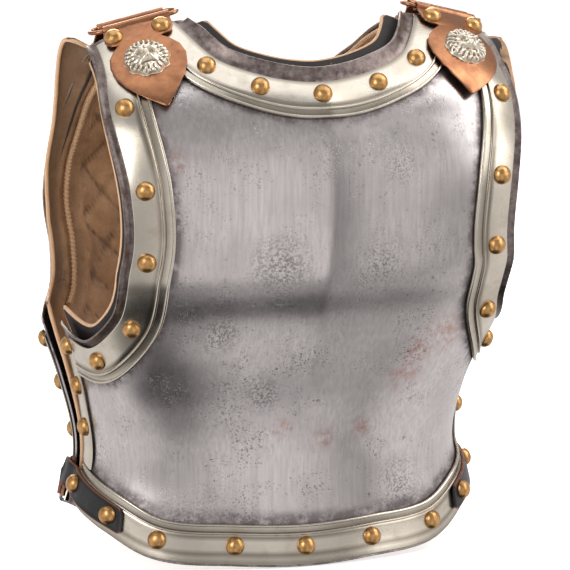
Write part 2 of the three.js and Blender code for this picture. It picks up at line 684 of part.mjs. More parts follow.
// The lion mask: a ruff of locks round a face with brow, muzzle and ears, on a base that
// follows the plaque.
function lionMask() {
  const [rings, spokes] = [[0, 3.2, 6.4, 9.6, 12.2, 14.4, 16.8, 18.5], 18];
  const bump = (p, q, atP, atQ, width, height) =>
    height * Math.exp(-((p - atP) ** 2 + (q - atQ) ** 2) / width ** 2);
  const relief = (r, angle) => {
    const [p, q] = [r * Math.cos(angle), r * Math.sin(angle)];
    const face = 6.5 * Math.exp(-((r / 9.5) ** 4)) + bump(p, q, 0, -3, 4.2, 3.4) + bump(p, q, 0, 3, 3, 1.2);
    const ears = bump(p, q, 8.5, 7.5, 2.6, 1.6) + bump(p, q, -8.5, 7.5, 2.6, 1.6);
    const ruff = 3.2 * Math.exp(-(((r - 14) / 3.4) ** 2)) * (1 + 0.22 * Math.cos(9 * angle));
    return 1.2 + face + ears + ruff;
  };
  const base = PLAQUE.lift + PLAQUE.sheet + MASK.gap;
  const spots = [];
  rings.forEach((r) => {
    const count = r === 0 ? 1 : spokes;
    for (let k = 0; k < count; k++) {
      const angle = (2 * Math.PI * k) / spokes;
      const reach = r === last(rings) ? MASK.radius + 0.7 * Math.cos(9 * angle) : r;
      spots.push({ p: reach * Math.cos(angle), q: reach * Math.sin(angle), height: relief(r, angle) });
    }
  });
  const at = (lift) => spots.map(({ p, q, height }) => raised(BREAST, FRONT(p, q), base + lift * height));
  const faces = [];
  const upper = spots.length;
  for (let k = 0; k < spokes; k++) {
    const next = (k + 1) % spokes;
    faces.push([0, 1 + k, 1 + next]);
    for (let ring = 1; ring < rings.length - 1; ring++) {
      const [a, b] = [1 + (ring - 1) * spokes, 1 + ring * spokes];
      faces.push([a + k, b + k, b + next], [a + k, b + next, a + next]);
    }
    const edge = 1 + (rings.length - 2) * spokes;
    faces.push([edge + k, upper + 1 + k, upper + 1 + next], [edge + k, upper + 1 + next, edge + next]);
    faces.push([upper, upper + 1 + next, upper + 1 + k]);
  }
  const basePoints = at(0);
  return solid([...at(1), basePoints[0], ...basePoints.slice(-spokes)], faces);
}

// ---- Waist straps ----
// Routes along the waist, as turns on a plate and heights over its skin.
// The tab runs over the breast's waist border and out to the bar of the buckle.
const TAB_ROUTE = [
  ...[TAB.from, 73, 76.5, 80, 84, 88, 91].map((turn) => ({ face: BREAST, turn, height: TAB.lift })),
  { face: BREAST, turn: 93.6, height: 8.4 },
  { face: BREAST, turn: 96, height: 10.4 },
  { face: BACK, turn: 68, height: 7.2 },
  { face: BACK, turn: 66.2, height: 7.4 },
];
// The strap runs from the waist border of the back, through the buckle, to under the tab.
const STRAP_ROUTE = [
  ...[44.5, 49, 53, 57, 60.5, 64.5].map((turn) => ({ face: BACK, turn, height: 4.2 })),
  { face: BACK, turn: 68, height: 3.9 },
  { face: BREAST, turn: 96, height: 7.2 },
  { face: BREAST, turn: 94.2, height: 5.4 },
];

const waistSpot = (face, turn) => ({ turn, level: levelAt(smoothLine(face.waist, 60), turn) });

// A flat strap along a route, centred on the rivet line of the waist.
function ribbon(route, width, leather, across) {
  const spots = route.map((row) => ({ ...row, ...waistSpot(row.face, row.turn) }));
  const rises = Array.from({ length: across + 1 }, (_, j) => (j / across - 0.5) * width);
  const at = (layer) => rises.flatMap((rise) => spots.map(({ face, turn, level, height }) =>
    raised(face, { turn, level: level + rise }, height + layer)));
  return layers(at(leather), at(0), gridQuads(route.length, across + 1), gridRim(route.length, across + 1));
}

function backStrap() {
  const rivets = [46.5, 51.8].map((turn) =>
    simpleRivet(BACK, waistSpot(BACK, turn), STRAP_ROUTE[0].height + 0.8));
  return join(ribbon(STRAP_ROUTE, STRAP.width, STRAP.leather, 2), ...rivets);
}

// The buckle: a flat frame from the end of the tab to over the strap, with its prong.
function buckle() {
  const place = (turn) => raised(BACK, waistSpot(BACK, turn), BUCKLE.lift);
  const [front, rear] = [place(BUCKLE.from), place(BUCKLE.to)];
  const along = rear.clone().sub(front);
  const length = along.length() + BUCKLE.bar;
  along.normalize();
  const out = front.clone().sub(skin(BACK, waistSpot(BACK, BUCKLE.from))).projectOnPlane(along).normalize();
  const up = out.clone().cross(along);
  const rectangle = (wide, tall) => [[-1, -1], [1, -1], [1, 1], [-1, 1]].map(([x, y]) =>
    new THREE.Vector2((x * wide) / 2, (y * tall) / 2));
  const shape = new THREE.Shape(rectangle(length, BUCKLE.height));
  shape.holes.push(new THREE.Path(rectangle(length - 2 * BUCKLE.bar, BUCKLE.height - 2 * BUCKLE.bar)));
  const frame = weld(new THREE.ExtrudeGeometry(shape, { depth: BUCKLE.plate, bevelEnabled: false }));
  const prongShape = new THREE.Shape(rectangle(length, BUCKLE.bar));
  const prong = weld(new THREE.ExtrudeGeometry(prongShape, { depth: 1.6, bevelEnabled: false }));
  prong.translate(0, 0, BUCKLE.plate - 0.3);
  const pose = new THREE.Matrix4().makeBasis(along, up, out).setPosition(front.lerp(rear, 0.5));
  return join(frame, prong).applyMatrix4(pose);
}

// ---- Assembly ----
const material = (color, roughness, metalness) =>
  new THREE.MeshStandardMaterial({ color, roughness, metalness });
const FINISH = {
  steel: () => material(0xa9a6ad, 0.28, 1),
  nickel: () => material(0xb8ab95, 0.32, 1),
  brass: () => material(0xc9964e, 0.25, 1),
  copper: () => material(0xb06a3c, 0.35, 1),
  silver: () => material(0xcabfae, 0.35, 1),
  iron: () => material(0x5c5a5c, 0.45, 1),
  black: () => material(0x1d1a1c, 0.6, 0),
  brown: () => material(0x6b3c26, 0.6, 0),
};

const cuirass = new THREE.Group();

function add(name, geometry, finish) {
  const mesh = new THREE.Mesh(geometry, FINISH[finish]());
  mesh.name = name;
  cuirass.add(mesh);
}

// Adds a piece of the left side, and its mirror image on the right.
function addPair(name, geometry, finish) {
  add(`${name}_left`, geometry, finish);
  add(`${name}_right`, outwards(geometry.clone().scale(-1, 1, 1)), finish);
}

// The rivets of one line of a plate, as { name, spot } of the left half and the middle.
const rivetsOf = (rows) => rows.filter((row) => row.rivet).map((row) => ({ name: row.rivet, spot: row }));
const bothSides = (spot) => (spot.turn === 0 ? [spot] : [spot, ...mirrored([spot])]);
const withRivets = (face, band, spots) =>
  join(band, ...spots.map((spot) => simpleRivet(face, spot, BAND.under + 0.1)));
const backSpots = (rows) => rivetsOf(rows).map(({ spot }) => spot);
const backNeck = neckBorder(BACK, plainBead(BACK_BAND), 11);
const backArm = armBorder(BACK, plainBead(BACK_BAND), 12);
const backWaist = waistBorder(BACK, plainBead(WAIST_BAND), 13);

add("breast_shell", plateShell(BREAST), "steel");
add("breast_neck_band", neckBorder(BREAST, beaded(BAND), 16), "nickel");
addPair("breast_arm_band", armBorder(BREAST, beaded(ARM_BAND), 16), "nickel");
addPair("breast_side_strip", sideStrip(BREAST), "nickel");
add("breast_waist_band", waistBorder(BREAST, beaded(WAIST_BAND), 19), "nickel");
add("breast_lining", plateLining(BREAST), "black");
add("back_shell", plateShell(BACK), "steel");
add("back_neck_band", withRivets(BACK, backNeck, backSpots(BACK.neck).flatMap(bothSides)), "nickel");
addPair("back_arm_band", withRivets(BACK, backArm, backSpots(BACK.arm)), "nickel");
addPair("back_side_strip", sideStrip(BACK), "nickel");
add("back_waist_band", withRivets(BACK, backWaist, backSpots(BACK.waist).flatMap(bothSides)), "nickel");
add("back_lining", plateLining(BACK), "black");

for (const { name, spot } of [...rivetsOf(BREAST.neck), ...rivetsOf(BREAST.arm), ...rivetsOf(BREAST.waist)]) {
  const onTab = name.startsWith("waist") && spot.turn > TAB.from;
  const geometry = rivet(BREAST, spot, (onTab ? TAB.lift + TAB.leather : BAND.flat) + RIVET.gap);
  if (spot.turn === 0) add(`rivet_${name}`, geometry, "brass");
  else addPair(`rivet_${name}`, geometry, "brass");
}
const onPlaque = PLAQUE.lift + PLAQUE.sheet + RIVET.gap;
for (const [name, side] of [["ear_inner", -1], ["ear_outer", 1]]) {
  addPair(`rivet_${name}`, rivet(BREAST, FRONT(side * EAR.p, EAR.q), onPlaque), "brass");
}
addPair("shoulder_plaque", plaque(BREAST, FRONT, LEAF), "copper");
addPair("lion_mask", lionMask(), "silver");
const tongue = plaque(BACK, REAR, TONGUE);
const tongueRivets = [-1, 1].map((side) => simpleRivet(BACK, REAR(side * 15, 24), PLAQUE.lift + 0.4));
addPair("back_plaque", join(tongue, ...tongueRivets), "copper");
addPair("shoulder_link", link(), "copper");
addPair("waist_tab", ribbon(TAB_ROUTE, TAB.width, TAB.leather, 1), "black");
addPair("waist_buckle", buckle(), "iron");
addPair("back_strap", backStrap(), "brown");

// The origin is the middle of the box's bottom.
const box = new THREE.Box3().setFromObject(cuirass);
const middle = box.getCenter(vec());
for (const mesh of cuirass.children) mesh.position.set(-middle.x, -middle.y, -box.min.z);

export default cuirass;
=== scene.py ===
import math

import bpy
import numpy as np
from mathutils import Matrix, Vector
from mathutils.kdtree import KDTree


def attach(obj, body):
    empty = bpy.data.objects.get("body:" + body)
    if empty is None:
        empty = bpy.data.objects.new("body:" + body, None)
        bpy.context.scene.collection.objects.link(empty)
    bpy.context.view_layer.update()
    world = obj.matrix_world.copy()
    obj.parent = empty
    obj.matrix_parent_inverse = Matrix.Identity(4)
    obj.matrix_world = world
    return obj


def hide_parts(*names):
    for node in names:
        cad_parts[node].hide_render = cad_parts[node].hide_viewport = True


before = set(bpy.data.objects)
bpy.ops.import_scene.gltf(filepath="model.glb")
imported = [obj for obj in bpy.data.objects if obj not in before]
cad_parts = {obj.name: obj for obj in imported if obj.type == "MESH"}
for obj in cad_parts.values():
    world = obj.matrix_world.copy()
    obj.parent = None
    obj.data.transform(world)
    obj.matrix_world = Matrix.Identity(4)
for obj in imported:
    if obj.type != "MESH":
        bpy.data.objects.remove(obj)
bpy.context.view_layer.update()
MM = 0.001
DEG = math.pi / 180

# ---- Form of the torso, in millimetres ----
# A plate is a stack of rounded sections about an upright axis, with turns in degrees from its
# middle. Above the fold the sections tip over the shoulder, and the level goes on as an arc.
BREAST = {
    "out": -1,
    "axis": 18,
    "fold": 340,
    "radius": 125,
    "side": 90,
    "shoulder": 471,
    "rise": {"neck": 7.5, "arm": 4.4, "waist": 0, "side": 0, "shoulder": 0},
    "sections": [
        (-10, 177, 104, 2.0), (20, 173, 96, 2.0), (50, 168, 92, 2.05), (90, 158, 92, 2.15),
        (135, 162, 103, 2.6), (180, 172, 118, 3.4), (215, 185, 130, 3.9), (240, 192.5, 142, 4.2),
        (260, 197, 149, 4.4), (326, 200, 155, 4.5), (387, 200, 145, 4.0), (425, 200, 134, 3.8),
        (460, 200, 131, 3.5), (500, 200, 128, 3.4),
    ],
    "neck": [(0, 387), (19, 395), (33, 415.5), (41.5, 460), (43, 495)],
    "arm": [
        (55, 495), (53.5, 466), (50.5, 387), (45.5, 326), (46, 269), (53.5, 212), (68, 179),
        (80, 178), (95, 184),
    ],
    "waist": [(0, 20.5), (33, 23), (59.5, 28), (73.5, 46), (88, 63), (98, 71)],
}
BACK = {
    "out": 1,
    "axis": -30,
    "fold": 300,
    "radius": 150,
    "side": 67,
    "shoulder": 530,
    "rise": {"neck": 4, "arm": 2.5, "waist": 0, "side": 0, "shoulder": 0},
    "sections": [
        (-10, 197, 146, 2.2), (30, 192, 139, 2.2), (95, 181, 132, 2.3), (150, 185, 143, 2.7),
        (205, 195, 159, 3.4), (260, 201, 171, 4.0), (310, 192, 171, 4.0), (360, 183, 162, 3.8),
        (410, 182, 149, 3.8), (445, 186, 139, 4.0), (480, 190, 139, 4.3), (540, 190, 144, 4.4),
    ],
    "neck": [(0, 352), (18, 358), (31, 385), (37.5, 430), (40, 490), (40, 555)],
    "arm": [
        (47.5, 555), (48, 485), (50.5, 428), (48, 370), (45, 300), (43, 248), (49, 203),
        (61, 183), (72, 182),
    ],
    "waist": [(0, 20.5), (19.5, 21.3), (38, 27.5), (58, 48), (68, 60), (76, 67)],
}
ORIGIN = Vector((0, 0.444, -3.803))  # from the form's own origin to the part's
STEEL = 2.0
STEEL_EDGE = {"neck": 23, "arm": 18.5, "side": 0, "waist": 16.5, "shoulder": 0}
RIM_ROOT = {"neck": 12.6, "arm": 12.4, "side": -5, "waist": 11, "shoulder": -6}
LINING_EDGE = {"neck": 36, "arm": 25, "side": 8, "waist": 12, "shoulder": -5, "ease": 26}
BACK_LINING_EDGE = {"neck": 26, "arm": 29, "side": 8, "waist": 12, "shoulder": -5}
MM_PER_DEGREE = 2.6
KEEL_HEIGHT = 6.2
KEEL_SPREAD = 42


def clamp(value, low, high):
    return max(low, min(high, value))


def smoothstep(value, low, high):
    t = clamp((value - low) / (high - low), 0, 1)
    return t * t * (3 - 2 * t)


def lerp(a, b, t):
    return a + (b - a) * t


def smooth_run(start, rise, leave, arrive, t):
    """A smooth run from a start over a rise, with the slopes that it leaves and arrives at."""
    return start + t * (leave + t * (3 * rise - 2 * leave - arrive + t * (leave + arrive - 2 * rise)))


def section_at(face, level):
    """Half width, depth and squareness of a plate at a level, between the rows of its table."""
    rows = face["sections"]
    i = 0
    while i < len(rows) - 2 and rows[i + 1][0] < level:
        i += 1
    a, b = rows[i], rows[i + 1]
    before, after = rows[max(i - 1, 0)], rows[min(i + 2, len(rows) - 1)]
    span = b[0] - a[0]
    t = clamp((level - a[0]) / span, -0.5, 1.5)
    read = []
    for k in (1, 2, 3):
        leave = (b[k] - before[k]) / (b[0] - before[0]) * span
        arrive = (after[k] - a[k]) / (after[0] - a[0]) * span
        read.append(smooth_run(a[k], b[k] - a[k], leave, arrive, t))
    return read


def keel(x, level):
    """The ridge down the middle of the breast, fading towards the waist and the neck."""
    height = KEEL_HEIGHT * smoothstep(level, 130, 270) * (1 - smoothstep(level, 372, 405))
    return height * math.exp(-math.sqrt(x * x + 16) / KEEL_SPREAD)


def skin(face, spot):
    turn, level = spot
    half_width, depth, square = section_at(face, level)
    s, c = math.sin(turn * DEG), math.cos(turn * DEG)
    reach = (abs(s / half_width) ** square + abs(c / depth) ** square) ** (-1 / square)
    forward = reach * c + (keel(reach * s, level) if face is BREAST else 0)
    if level <= face["fold"]:
        return Vector((reach * s, face["axis"] + face["out"] * forward, level))
    tip = (level - face["fold"]) / face["radius"]
    y = face["axis"] + face["out"] * forward * math.cos(tip)
    return Vector((reach * s, y, face["fold"] + forward * math.sin(tip)))


def normal_at(face, spot):
    turn, level = spot
    across = skin(face, (turn + 0.2, level)) - skin(face, (turn - 0.2, level))
    up = skin(face, (turn, level + 0.5)) - skin(face, (turn, level - 0.5))
    return (across.cross(up) * -face["out"]).normalized()


def raised(face, spot, height):
    return skin(face, spot) + normal_at(face, spot) * height


def spot_under(face, point):
    """The spot of the form under a point, read along its own section."""
    ahead = face["out"] * (point.y - face["axis"])
    above = point.z - face["fold"]
    if above <= 0:
        return (math.atan2(point.x, ahead) / DEG, point.z)
    forward = math.hypot(ahead, above)
    return (math.atan2(point.x, forward) / DEG, face["fold"] + face["radius"] * math.atan2(above, ahead))


def length_of(face, line):
    return [0] + [(skin(face, b) - skin(face, a)).length for a, b in zip(line, line[1:])]


def respace(face, line, count):
    """The same line with evenly spaced spots."""
    along, total = [], 0
    for step in length_of(face, line):
        total += step
        along.append(total)
    spaced, i = [], 1
    for k in range(count + 1):
        at = total * k / count
        while i < len(line) - 1 and along[i] < at:
            i += 1
        t = (at - along[i - 1]) / max(along[i] - along[i - 1], 1e-9)
        a, b = line[i - 1], line[i]
        spaced.append((lerp(a[0], b[0], t), lerp(a[1], b[1], t)))
    return spaced


def smooth_line(rows, count=90):
    """A centripetal curve through rows of turns and levels, as evenly spaced spots."""
    points = [Vector((turn * MM_PER_DEGREE, level)) for turn, level in rows]
    before = Vector((-points[1].x, points[1].y)) if rows[0][0] == 0 else points[0] * 2 - points[1]
    points = [before] + points + [points[-1] * 2 - points[-2]]
    fine = []
    for p0, p1, p2, p3 in zip(points, points[1:], points[2:], points[3:]):
        d0, d1, d2 = [max((b - a).length ** 0.5, 1e-4) for a, b in ((p0, p1), (p1, p2), (p2, p3))]
        m1 = ((p1 - p0) / d0 - (p2 - p0) / (d0 + d1) + (p2 - p1) / d1) * d1
        m2 = ((p2 - p1) / d1 - (p3 - p1) / (d1 + d2) + (p3 - p2) / d2) * d1
        for k in range(24):
            t = k / 24
            fine.append(smooth_run(p1, p2 - p1, m1, m2, t))
    fine.append(points[-2])
    along = [0]
    for a, b in zip(fine, fine[1:]):
        along.append(along[-1] + (b - a).length)
    spots, i = [], 1
    for k in range(count + 1):
        at = along[-1] * k / count
        while i < len(fine) - 1 and along[i] < at:
            i += 1
        p = fine[i - 1].lerp(fine[i], (at - along[i - 1]) / (along[i] - along[i - 1]))
        spots.append((p.x / MM_PER_DEGREE, p.y))
    return spots


def offset_line(face, line, distance):
    """A line moved sideways over the form: outwards from the lines of the neck and arms."""
    moved = []
    for i, spot in enumerate(line):
        ahead = skin(face, line[min(i + 1, len(line) - 1)])
        behind = skin(face, line[max(i - 1, 0)])
        sideways = normal_at(face, spot).cross(ahead - behind).normalized()
        step = distance[i] if isinstance(distance, list) else distance
        moved.append(spot_under(face, skin(face, spot) - sideways * (face["out"] * step)))
    return moved


def keep_below(line, column, limit):
    """Cuts a line where a column passes a limit, and keeps the part below it."""
    kept = []
    for i, spot in enumerate(line):
        before = line[i - 1] if i else None
        if before and (spot[column] <= limit) != (before[column] <= limit):
            t = (limit - before[column]) / (spot[column] - before[column])
            kept.append((lerp(before[0], spot[0], t), lerp(before[1], spot[1], t)))
        if spot[column] <= limit:
            kept.append(spot)
    return kept


def mirrored(line):
    return [(-turn, level) for turn, level in line]


def across_body(half):
    return mirrored(half[1:])[::-1] + half


def girth_at(face, level):
    point = skin(face, (face["side"], level))
    return math.hypot(point.x, point.y)


def place(point):
    """A point of the form in metres, in the part's frame."""
    return (point + ORIGIN) * MM


# ---- Pieces ----
def select_only(piece):
    bpy.ops.object.select_all(action="DESELECT")
    piece.select_set(True)
    bpy.context.view_layer.objects.active = piece


def apply_modifier(piece, kind, **settings):
    select_only(piece)
    modifier = piece.modifiers.new(kind.title(), kind)
    for name, value in settings.items():
        setattr(modifier, name, value)
    bpy.ops.object.modifier_apply(modifier=modifier.name)


def smooth_shade(piece, angle=40):
    select_only(piece)
    bpy.ops.object.shade_smooth_by_angle(angle=angle * DEG)


def worked(piece, *steps):
    """Runs edit mode operators, each with its settings, on the whole of a piece."""
    select_only(piece)
    bpy.ops.object.mode_set(mode="EDIT")
    bpy.ops.mesh.select_all(action="SELECT")
    for operator, settings in steps:
        operator(**settings)
    bpy.ops.object.mode_set(mode="OBJECT")
    return piece


def grid_piece(name, rows, closed=False):
    """A sheet through rows of points in metres, shaped from a plain grid."""
    wide, tall = len(rows[0]), len(rows)
    bpy.ops.object.select_all(action="DESELECT")
    bpy.ops.mesh.primitive_grid_add(x_subdivisions=wide - 1, y_subdivisions=tall - 1, size=1)
    piece = bpy.context.object
    piece.name = piece.data.name = name
    flat = [coordinate for row in rows for point in row for coordinate in point]
    piece.data.vertices.foreach_set("co", flat)
    piece.data.update()
    if closed:
        worked(piece, (bpy.ops.mesh.remove_doubles, {"threshold": 1e-5}))
    return piece


def face_outwards(piece):
    worked(piece, (bpy.ops.mesh.normals_make_consistent, {"inside": False}))


def close_ends(piece):
    """Fills the open ends of a swept piece."""
    select_only(piece)
    bpy.ops.object.mode_set(mode="EDIT")
    bpy.ops.mesh.select_mode(type="EDGE")
    bpy.ops.mesh.select_all(action="DESELECT")
    bpy.ops.mesh.select_non_manifold(extend=False)
    bpy.ops.mesh.edge_face_add()
    bpy.ops.mesh.select_all(action="DESELECT")
    bpy.ops.object.mode_set(mode="OBJECT")


def sweep(name, stations, loop=False):
    """A solid through closed sections of points in metres."""
    rows = [list(section) + [section[0]] for section in stations]
    if loop:
        rows.append(rows[0])
    piece = grid_piece(name, rows, closed=True)
    if not loop:
        close_ends(piece)
    face_outwards(piece)
    return piece


def tube(name, points, radius, sides=12, loop=False, up=None):
    """A round rod along a run of points in metres."""
    stations = []
    count = len(points)
    side = None
    for i, point in enumerate(points):
        ahead = points[(i + 1) % count] if loop or i + 1 < count else points[i]
        behind = points[i - 1] if loop or i else points[i]
        along = (ahead - behind).normalized()
        if up is not None:
            side = along.cross(up).normalized()
        elif side is None:
            side = along.orthogonal().normalized()
        else:
            side = (side - along * side.dot(along)).normalized()
        above = side.cross(along)
        size = radius(i / (count - 1)) if callable(radius) else radius
        stations.append([
            point + side * (size * math.cos(2 * math.pi * k / sides))
            + above * (size * math.sin(2 * math.pi * k / sides))
            for k in range(sides)
        ])
    return sweep(name, stations, loop)


def join(name, *pieces):
    bpy.ops.object.select_all(action="DESELECT")
    for piece in pieces:
        piece.select_set(True)
    bpy.context.view_layer.objects.active = pieces[0]
    if len(pieces) > 1:
        bpy.ops.object.join()
    pieces[0].name = pieces[0].data.name = name
    return pieces[0]


def mirror_image(piece, name):
    """A copy of a left piece for the right side, with its own mesh."""
    twin = piece.copy()
    twin.data = piece.data.copy()
    twin.name = twin.data.name = name
    bpy.context.collection.objects.link(twin)
    twin.data.transform(Matrix.Scale(-1, 4, (1, 0, 0)))
    twin.data.flip_normals()
    return twin


def finished(piece, material, nodes=(), shade=40):
    """Gives a piece its material, its place in the frame and the nodes that it stands for."""
    piece.data.materials.clear()
    piece.data.materials.append(material)
    if shade:
        smooth_shade(piece, shade)
    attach(piece, "root")
    if nodes:
        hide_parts(*nodes)
    return piece


def finished_pair(piece, material, node=None, shade=40):
    """Finishes a left piece and its mirror image for the right side."""
    twin = mirror_image(piece, piece.name.replace("left", "right"))
    for one, side in ((piece, "left"), (twin, "right")):
        finished(one, material, (f"{node}_{side}",) if node else (), shade)


# ---- Materials ----
# Marks on the breast, as turn, level and size.
RUST = (
    (43.5, 193, 26), (38, 180, 20), (37, 160, 20), (27, 117, 13), (9, 108, 14), (-12, 120, 11),
    (-40, 345, 16),
)
POCKS = (
    (-14, 262, 34), (17, 258, 34), (-33, 205, 22), (22, 340, 20), (-50, 40, 40), (48, 60, 34),
    (-20, 150, 20),
)


class Patterns:
    """Numbers and colours worked out over the coordinates of a node tree."""

    def __init__(self, tree, coordinates):
        self.tree = tree
        self.place = self.node("ShaderNodeTexCoord").outputs[coordinates]

    def node(self, kind, **settings):
        node = self.tree.nodes.new(kind)
        for name, value in settings.items():
            setattr(node, name, value)
        return node

    def feed(self, socket, value):
        if isinstance(value, bpy.types.NodeSocket):
            self.tree.links.new(value, socket)
        else:
            socket.default_value = value

    def stretched(self, scale, location=(0, 0, 0)):
        node = self.node("ShaderNodeMapping")
        node.inputs["Scale"].default_value = scale
        node.inputs["Location"].default_value = location
        self.feed(node.inputs["Vector"], self.place)
        return node.outputs["Vector"]

    def noise(self, scale, detail=4.0, rough=0.55, at=None, warp=0.0):
        node = self.node("ShaderNodeTexNoise")
        self.feed(node.inputs["Vector"], at or self.place)
        settings = {"Scale": scale, "Detail": detail, "Roughness": rough, "Distortion": warp}
        for name, value in settings.items():
            node.inputs[name].default_value = value
        return node.outputs["Fac"]

    def cells(self, scale, at=None, feature="F1", output="Distance"):
        node = self.node("ShaderNodeTexVoronoi", feature=feature)
        self.feed(node.inputs["Vector"], at or self.place)
        node.inputs["Scale"].default_value = scale
        return node.outputs[output]

    def reach(self, value, low, high, to=(0.0, 1.0)):
        """Runs a value from one range to another, held at its ends."""
        node = self.node("ShaderNodeMapRange")
        for k, number in enumerate((low, high, *to)):
            node.inputs[k + 1].default_value = number
        self.feed(node.inputs[0], value)
        return node.outputs[0]

    def math(self, operation, a, b=0.0):
        node = self.node("ShaderNodeMath", operation=operation)
        self.feed(node.inputs[0], a)
        self.feed(node.inputs[1], b)
        return node.outputs[0]

    def both(self, a, b):
        return self.math("MULTIPLY", a, b)

    def mix(self, amount, a, b):
        """Colour a where the amount is 0 and colour b where it is 1."""
        node = self.node("ShaderNodeMix", data_type="RGBA")
        for socket, value in ((node.inputs[0], amount), (node.inputs[6], a), (node.inputs[7], b)):
            self.feed(socket, (*value, 1) if isinstance(value, tuple) else value)
        return node.outputs[2]

    def attribute(self, name):
        return self.node("ShaderNodeAttribute", attribute_name=name).outputs["Fac"]

    def near(self, centre, radius, soft=0.5):
        """1 at a place on the piece, falling to 0 at a radius in metres."""
        node = self.node("ShaderNodeVectorMath", operation="DISTANCE")
        self.feed(node.inputs[0], self.place)
        node.inputs[1].default_value = centre
        return self.reach(node.outputs["Value"], radius, radius * soft)

    def height_of(self, axis="Z"):
        node = self.node("ShaderNodeSeparateXYZ")
        self.feed(node.inputs[0], self.place)
        return node.outputs[axis]


class Finish(Patterns):
    """A material, with the patterns that feed it on the piece's own coordinates."""

    def __init__(self, name, roughness, metallic=0.0):
        self.material = bpy.data.materials.new(name)
        self.material.use_nodes = True
        super().__init__(self.material.node_tree, "Object")
        self.shader = self.tree.nodes["Principled BSDF"]
        self.shader.inputs["Roughness"].default_value = roughness
        self.shader.inputs["Metallic"].default_value = metallic

    def coat(self, color=None, roughness=None, bumps=()):
        """Joins the patterns to the shader. Each bump is a height pattern and its depth in metres."""
        if color is not None:
            self.feed(self.shader.inputs["Base Color"], (*color, 1) if isinstance(color, tuple) else color)
        if roughness is not None:
            self.feed(self.shader.inputs["Roughness"], roughness)
        normal = None
        for height, depth in bumps:
            node = self.node("ShaderNodeBump")
            node.inputs["Strength"].default_value = 1.0
            node.inputs["Distance"].default_value = depth
            self.feed(node.inputs["Height"], height)
            if normal is not None:
                self.feed(node.inputs["Normal"], normal)
            normal = node.outputs["Normal"]
        if normal is not None:
            self.feed(self.shader.inputs["Normal"], normal)
        return self.material


def marks_on(finish, marks, soft):
    """The places of the breast where a mark lies: 1 in its middle and 0 past its size."""
    found = 0.0
    for turn, level, size in marks:
        at = place(skin(BREAST, (turn, level)))
        found = finish.math("MAXIMUM", found, finish.near(at, size * MM, soft))
    return found


def steel_finish():
    """Polished plate, brushed up and down, pitted and stained by age, with painted shade darkening a band on
    the +X side of the keel over the chest.
    """
    f = Finish("polished_steel", 0.3, 1.0)
    streaks = f.noise(1.0, 3, 0.6, f.stretched((420, 420, 9)))
    broad = f.noise(1.0, 3, 0.6, f.stretched((60, 60, 6)))
    cloud = f.noise(14, 4, 0.6)
    pits = f.both(
        f.reach(f.noise(560, 3, 0.6), 0.56, 0.64),
        f.reach(f.noise(24, 4, 0.7), 0.50, 0.62),
    )
    specks = f.both(f.reach(f.noise(230, 5, 0.75), 0.60, 0.66), f.reach(f.noise(9, 3, 0.6), 0.42, 0.58))
    grime = f.reach(f.attribute("grime"), 0.0, 1.0)
    patchy = f.both(grime, f.reach(f.noise(90, 5, 0.75), 0.28, 0.55))
    # Painted shade: a band on the front, from the keel out to about 34 mm on the +X side, fading in from 200
    # mm up and full above 260 mm, is darkened to stand in for the shaded side of the ridge.
    side = f.height_of("X")
    tarnish_and_painted_shade = f.both(f.reach(side, -0.003, 0.003), f.reach(side, 0.034, 0.006))
    chest = f.both(f.reach(f.height_of("Z"), 0.20, 0.26), f.reach(f.height_of("Y"), 0, -0.05))
    tarnish_and_painted_shade = f.both(tarnish_and_painted_shade, chest)
    base = f.mix(f.reach(streaks, 0.3, 0.7), (0.53, 0.50, 0.505), (0.69, 0.655, 0.655))
    base = f.mix(f.reach(cloud, 0.45, 0.8), base, (0.46, 0.43, 0.44))
    rust = marks_on(f, RUST, 0.2)
    pocks = f.both(marks_on(f, POCKS, 0.0), f.reach(f.noise(480, 3, 0.65), 0.50, 0.56))
    pits = f.math("MAXIMUM", pits, pocks)
    rust = f.both(rust, f.reach(f.noise(130, 5, 0.7), 0.42, 0.66))
    base = f.mix(f.both(rust, 0.75), base, (0.42, 0.17, 0.12))
    base = f.mix(f.both(f.math("MAXIMUM", pits, specks), 0.75), base, (0.16, 0.14, 0.15))
    # The painted shade beside the keel darkens the steel by half.
    base = f.mix(f.both(tarnish_and_painted_shade, 0.5), base, (0.24, 0.22, 0.23))
    base = f.mix(f.both(patchy, 0.8), base, (0.13, 0.105, 0.11))
    dulled = f.both(f.math("MAXIMUM", pits, patchy), 0.25)
    rough = f.math("ADD", f.reach(broad, 0.3, 0.7, (0.25, 0.31)), dulled)
    return f.coat(base, rough, ((streaks, 0.000006), (f.math("MULTIPLY", pits, -1.0), 0.00008)))


def flange_finish():
    """The turned steel rims: dark and brown with a bright worn edge."""
    f = Finish("dark_rim_steel", 0.4, 1.0)
    worn = f.attribute("worn")
    blotch = f.noise(160, 5, 0.7)
    base = f.mix(f.reach(blotch, 0.35, 0.7), (0.12, 0.09, 0.085), (0.33, 0.28, 0.27))
    base = f.mix(f.both(worn, f.reach(f.noise(300, 4, 0.6), 0.2, 0.6, (0.5, 1.0))), base, (0.72, 0.66, 0.6))
    return f.coat(base, f.reach(blotch, 0.3, 0.7, (0.3, 0.5)), ((blotch, 0.00012),))


def nickel_finish():
    f = Finish("nickel_silver", 0.26, 1.0)
    soft = f.noise(26, 4, 0.6)
    fine = f.noise(700, 3, 0.6)
    scratches = f.noise(1.0, 2, 0.6, f.stretched((900, 900, 90)))
    base = f.mix(f.reach(soft, 0.35, 0.7), (0.66, 0.615, 0.54), (0.54, 0.495, 0.42))
    tarnish_and_painted_shade = f.both(f.reach(f.noise(55, 5, 0.7), 0.52, 0.72), 0.5)
    base = f.mix(tarnish_and_painted_shade, base, (0.40, 0.34, 0.26))
    base = f.mix(f.both(f.attribute("groove"), 0.75), base, (0.16, 0.13, 0.10))
    return f.coat(base, f.reach(soft, 0.3, 0.7, (0.2, 0.33)), ((scratches, 0.00001), (fine, 0.00001)))


